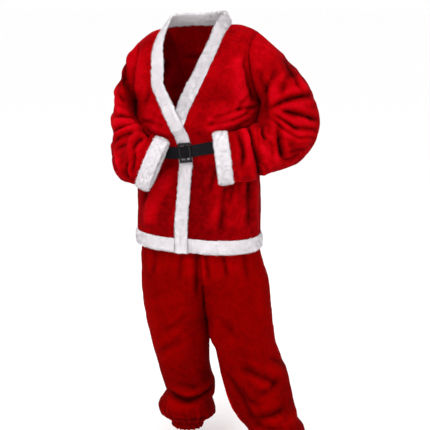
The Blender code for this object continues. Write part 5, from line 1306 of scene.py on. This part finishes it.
SEAT = table(
    "height right_x left_x side_y_right side_y_left inner_x front back",
    [
        (CROTCH, -0.193, 0.248, -0.008, -0.048, 0.0165, 0.114, 0.123),
        (0.50, -0.199, 0.243, -0.001, -0.032, 0.012, 0.118, 0.130),
        (0.57, -0.205, 0.236, 0.006, -0.024, 0.008, 0.124, 0.138),
        (0.65, -0.206, 0.213, 0.014, -0.024, 0.003, 0.126, 0.138),
        (0.70, -0.201, 0.200, 0.022, -0.030, 0.0, 0.122, 0.132),
        (0.78, -0.189, 0.188, 0.026, -0.034, 0.0, 0.116, 0.124),
        (0.88, -0.180, 0.180, 0.022, -0.030, 0.0, 0.112, 0.116),
        (0.95, -0.170, 0.170, 0.012, -0.016, 0.0, 0.110, 0.110),
        (WAIST_TOP, -0.164, 0.164, 0.006, -0.008, 0.0, 0.109, 0.107),
    ],
)
ELASTIC = {1: 0.074, -1: 0.088}  # height of the gathered hem's elastic
LEG_PANEL_COLUMNS = 56
QUARTER = 0.5523  # control length of a quarter ellipse
HALF = 4 / 3  # control length of a half ellipse
LEG_SEAM_DIP = 0.0013  # how far the thinner pile and cloth sink at a seam
PLEAT_RISE = 0.0028
FRILL_RISE = 0.0024
FULL_SHADE_PLEAT = 0.004  # a pleat this high is shaded in full
TROUSER_FRONT = [
    (0.018, 0.700, 0.030, 0.600, 0.0, -0.0060, 0.008),
    (0.045, 0.710, 0.060, 0.600, 0.0, 0.0050, 0.014),
    (0.075, 0.700, 0.092, 0.610, 0.0, -0.0055, 0.008),
    (0.105, 0.700, 0.120, 0.620, 0.0, 0.0040, 0.014),
    (-0.012, 0.700, -0.010, 0.540, 0.0, -0.008, 0.012),
    (0.136, 0.331, 0.256, 0.280, 0.001, -0.0054, 0.012),
    (0.159, 0.310, 0.238, 0.263, -0.004, 0.0060, 0.016),
    (0.200, 0.256, 0.258, 0.286, -0.004, -0.0046, 0.010),
    (0.190, 0.237, 0.264, 0.249, -0.007, 0.0055, 0.015),
    (0.164, 0.192, 0.280, 0.212, -0.005, -0.0058, 0.011),
    (0.172, 0.180, 0.268, 0.164, -0.005, -0.0056, 0.011),
    (0.094, 0.300, 0.173, 0.190, 0.005, -0.0044, 0.010),
    (0.200, 0.160, 0.320, 0.180, -0.006, 0.0068, 0.016),
    (0.185, 0.120, 0.320, 0.125, 0.0, -0.0061, 0.011),
    (-0.110, 0.205, -0.020, 0.180, -0.006, -0.0082, 0.012),
    (-0.050, 0.185, 0.045, 0.215, -0.006, -0.0068, 0.011),
    (-0.120, 0.160, 0.020, 0.150, 0.008, 0.0061, 0.016),
    (-0.100, 0.118, 0.030, 0.115, 0.0, -0.0054, 0.010),
    (-0.150, 0.330, -0.060, 0.390, 0.008, -0.0034, 0.014),
    # smaller creases
    (0.012, 0.560, 0.022, 0.430, 0.003, 0.0024, 0.010),
    (-0.060, 0.700, -0.070, 0.600, 0.0, -0.0035, 0.010),
    (-0.110, 0.700, -0.115, 0.620, 0.0, 0.0030, 0.012),
    (-0.150, 0.700, -0.160, 0.600, 0.0, -0.0030, 0.010),
    (0.145, 0.700, 0.160, 0.600, 0.0, -0.0040, 0.010),
    (-0.040, 0.480, -0.120, 0.420, 0.004, -0.0020, 0.012),
    (0.050, 0.470, 0.130, 0.410, 0.004, -0.0020, 0.012),
    (0.232, 0.352, 0.294, 0.306, 0.002, -0.0048, 0.011),
    (0.135, 0.276, 0.190, 0.224, -0.006, -0.0034, 0.009),
    (0.150, 0.350, 0.185, 0.322, -0.003, -0.0025, 0.009),
    (0.230, 0.145, 0.310, 0.150, 0.003, -0.0031, 0.008),
    (-0.080, 0.240, -0.010, 0.225, 0.003, -0.0027, 0.009),
    (-0.095, 0.140, -0.030, 0.130, 0.002, -0.0031, 0.007),
]
TROUSER_BACK = [
    (-0.110, 0.690, -0.060, 0.560, 0.010, 0.009, 0.020),
    (0.110, 0.690, 0.060, 0.560, -0.010, 0.009, 0.020),
    (-0.150, 0.500, -0.040, 0.440, 0.010, -0.0061, 0.018),
    (0.190, 0.480, 0.070, 0.430, -0.010, -0.0061, 0.018),
    (-0.130, 0.330, -0.030, 0.300, 0.0, -0.0061, 0.016),
    (-0.110, 0.230, 0.010, 0.215, 0.0, 0.0061, 0.016),
    (-0.110, 0.180, 0.020, 0.175, 0.0, -0.0068, 0.013),
    (0.130, 0.330, 0.240, 0.300, 0.0, -0.0061, 0.016),
    (0.150, 0.250, 0.280, 0.240, 0.0, 0.0061, 0.018),
    (0.160, 0.190, 0.300, 0.185, 0.0, -0.0068, 0.014),
    # smaller creases
    (-0.140, 0.600, -0.060, 0.520, 0.006, -0.0027, 0.011),
    (0.150, 0.600, 0.070, 0.520, -0.006, -0.0027, 0.011),
    (-0.110, 0.400, -0.020, 0.370, 0.004, -0.0027, 0.011),
    (0.090, 0.400, 0.180, 0.360, 0.004, -0.0027, 0.011),
    (-0.100, 0.270, -0.010, 0.260, 0.003, -0.0031, 0.010),
    (0.150, 0.285, 0.250, 0.270, 0.003, -0.0031, 0.010),
    (-0.080, 0.130, 0.010, 0.125, 0.002, -0.0031, 0.008),
    (0.200, 0.140, 0.310, 0.135, 0.002, -0.0031, 0.008),
]
trouser_plush = plush(
    "red_trouser_plush",
    [(0.05, (0.038, 0.0, 0.0)), (0.38, (0.155, 0.0, 0.0)), (0.65, (0.265, 0.0, 0.0)),
     (0.92, (0.41, 0.0, 0.002))],
    mottle=0.45,
    streak=0.35,
    sheen=(0.06, 0.45, (1.0, 0.0, 0.01)),
    pile_depth=0.0015,
)


def leg_panel(side, facing):
    """A front (facing -1) or back (facing 1) of one side: rows up, columns from side seam to inner seam.
    Each row is one cubic curve. Below the crotch it is half a ring that ends at the inseam. The fork
    share turns it into a quarter ring that ends at the centre seam."""
    leg = LEFT_LEG if side > 0 else RIGHT_LEG
    low = np.concatenate([
        np.linspace(leg["height"][0], leg["height"][0] + 0.12, 42)[:-1],
        np.linspace(leg["height"][0] + 0.12, CROTCH, 80),
    ])
    high = np.linspace(CROTCH, WAIST_TOP, 96)[1:]
    names = "side_x side_y inner_x inner_y front back tilt".split()
    lower = {name: smooth(leg["height"], leg[name], low) for name in names}
    seat = {name: smooth(SEAT["height"], SEAT[name], high) for name in SEAT}
    none = np.zeros(len(high))
    upper = {
        "side_x": seat["left_x"] if side > 0 else seat["right_x"],
        "side_y": seat["side_y_left"] if side > 0 else seat["side_y_right"],
        "inner_x": seat["inner_x"],
        "inner_y": none,
        "front": seat["front"],
        "back": seat["back"],
        "tilt": none,
    }
    rows = {name: np.concatenate([lower[name], upper[name]]) for name in names}
    height = np.concatenate([low, high])
    depth = rows["front"] if facing < 0 else rows["back"]
    rise = np.clip((height - CROTCH) / FORK, 0, 1)
    fork = (rise + ease(rise)) / 2
    level = np.zeros_like(depth)
    start = np.stack([rows["side_x"], rows["side_y"], level], -1)
    end = np.stack([rows["inner_x"], rows["inner_y"] + facing * fork * depth, level], -1)
    start_pull = np.stack([level, facing * depth * (HALF * (1 - fork) + QUARTER * fork), level], -1)
    width = rows["side_x"] - rows["inner_x"]
    end_pull = np.stack([width * QUARTER * fork, facing * depth * HALF * (1 - fork), level], -1)
    share = np.linspace(0, 1, LEG_PANEL_COLUMNS + 1)
    grid = bezier([p[:, None] for p in (start, start + start_pull, end + end_pull, end)], share[None])
    middle_x = (rows["side_x"] + rows["inner_x"]) / 2
    middle_y = (rows["side_y"] + rows["inner_y"]) / 2
    grid[..., 2] = height[:, None] + rows["tilt"][:, None] * (middle_y[:, None] - grid[..., 1])
    middle = np.stack([middle_x, middle_y, height], -1)
    return grid, middle[:, None], height


def gathers(grid, middle, height, side):
    """Pleats that fan out from the elastic hem: crests round the ring, deepest just off the elastic,
    uneven in height, and a frill below it."""
    off = grid - middle
    angle = np.arctan2(off[..., 1], off[..., 0])
    above = (height - ELASTIC[side])[:, None]
    wave = np.cos(22 * angle + 1.5 * np.sin(3 * angle)) + 0.6 * np.cos(37 * angle + 2.0 * np.sin(2 * angle))
    reach = 1 + 0.5 * np.sin(5 * angle + 1.0)
    up = np.where(above > 0, ease(above / 0.012) * np.exp(-np.abs(above) / (0.030 * reach)), 0.0)
    down = np.where(above <= 0, ease(-above / 0.022), 0.0)
    return wave * (PLEAT_RISE * up + FRILL_RISE * down)


def dress_leg(name, node, side, facing, seed):
    """A trouser panel with its creases, its gathers and its dips along seams. It is painted darker below
    the knee as painted shade, and has a painted highlight stripe beside the left inseam."""
    grid, middle, height = leg_panel(side, facing)
    normals = outward_normals(grid, middle)
    folds, shade = creases(grid, normals, TROUSER_FRONT, -1) + creases(grid, normals, TROUSER_BACK, 1)
    inner = edge_distance(grid, ["last_column"])
    near_seam = np.where(height[:, None] < CROTCH + 0.12, ease(inner / 0.03), 1.0)
    low = ease((height - ELASTIC[side] - 0.006) / 0.02)[:, None]
    kept = ease((0.74 - grid[..., 2]) / 0.06) * near_seam * low
    folds, shade = folds * kept, shade * kept
    uneven = (0.0012 * lumps(grid, 0.060, seed) + 0.0005 * lumps(grid, 0.022, seed + 1)) * near_seam * low
    seams = ["first_column", "last_column"]
    dip = LEG_SEAM_DIP * np.exp(-((edge_distance(grid, seams) / 0.006) ** 2))
    pleats = gathers(grid, middle, height, side) * ease(edge_distance(grid, seams) / 0.012)
    shaped = grid + normals * (folds + uneven + pleats - dip)[..., None]
    # Painted highlights along the outseam's roll and, on the left front, beside the inseam; painted shade
    # below the knee
    roll = 0.7 * np.exp(-(((edge_distance(grid, ["first_column"]) - 0.008) / 0.004) ** 2))
    painted_highlight_stripe = np.exp(-(((inner - 0.026) / 0.013) ** 2) - ((height[:, None] - 0.19) / 0.07) ** 2)
    roll = roll + (2.6 * painted_highlight_stripe if side > 0 and facing < 0 else 0.0)
    roll = roll - 0.45 * ease((0.42 - height) / 0.18)[:, None]
    # The pleats carry painted shade in their troughs and painted highlights on their crests
    painted_shade_and_seams = np.clip(shade + pleats / FULL_SHADE_PLEAT - dip / LEG_SEAM_DIP * 0.5 + roll, -1.5, 1.4)
    piece = cloth_piece(name, shaped, outward_normals(shaped, middle), painted_shade_and_seams, trouser_plush)
    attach(piece, "root")
    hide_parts(node)
    return piece, shaped


front_left, leg_front_left = dress_leg("left_leg_front_cloth", "trouser_front_left", 1, -1, 71)
back_left, leg_back_left = dress_leg("left_leg_back_cloth", "trouser_back_left", 1, 1, 73)
front_right, leg_front_right = dress_leg("right_leg_front_cloth", "trouser_front_right", -1, -1, 75)
back_right, leg_back_right = dress_leg("right_leg_back_cloth", "trouser_back_right", -1, 1, 77)

# Trouser waistband
# A casing of the same plush round 36 mm elastic, gathered in small even pleats.
WAIST_SECTION = [
    (0.0003, 0.0012), (0.004, 0.0030), (0.012, 0.0034), (0.024, 0.0034), (0.032, 0.0032), (0.0355, 0.0014),
    (0.0355, -0.0010), (0.032, -0.0022), (0.018, -0.0024), (0.004, -0.0022), (0.0003, -0.0012),
]


def waistband():
    """The section carried round the top of the four leg panels, with 90 pleats."""
    tops = [leg_front_left[-1][::-1], leg_back_left[-1][1:], leg_back_right[-1][::-1][1:]]
    loop = np.vstack(tops + [leg_front_right[-1][1:-1]])
    normal = unit((loop - loop.mean(0)) * np.array([1, 1, 0]))
    out = np.broadcast_to(UP, loop.shape)
    grid = swept(loop, out, normal, WAIST_SECTION)
    angle = np.arctan2(normal[:, 1], normal[:, 0])
    pleat = 0.0009 * np.cos(90 * angle + 2 * np.sin(4 * angle))
    depth = np.array([v for _, v in WAIST_SECTION])
    grid = grid + normal[:, None] * (pleat[:, None] * (depth > 0))[..., None]
    rows, cols = grid.shape[:2]
    index = np.arange(rows * cols).reshape(rows, cols)
    index = np.hstack([index, index[:, :1]])
    index = np.vstack([index, index[:1]])
    quads = np.stack([index[:-1, :-1], index[1:, :-1], index[1:, 1:], index[:-1, 1:]], -1).reshape(-1, 4)
    corner = grid.reshape(-1, 3)[quads]
    facing = np.cross(corner[:, 2] - corner[:, 0], corner[:, 3] - corner[:, 1])
    middle = np.repeat(grid.mean(1), cols, axis=0)
    if (facing * (corner.mean(1) - middle[quads[:, 0]])).sum() < 0:
        quads = quads[:, ::-1]
    points = grid.reshape(-1, 3) - HELD_AT * UP
    # Painted shade in the pleats' troughs and painted highlights on their crests
    painted_shade_and_seams = np.repeat(pleat / 0.0009, cols) * 0.6
    piece = new_piece("waistband_cloth", points, quads, trouser_plush, painted_shade_and_seams)
    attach(piece, "root")
    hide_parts("trouser_waistband")
    return piece


casing = waistband()
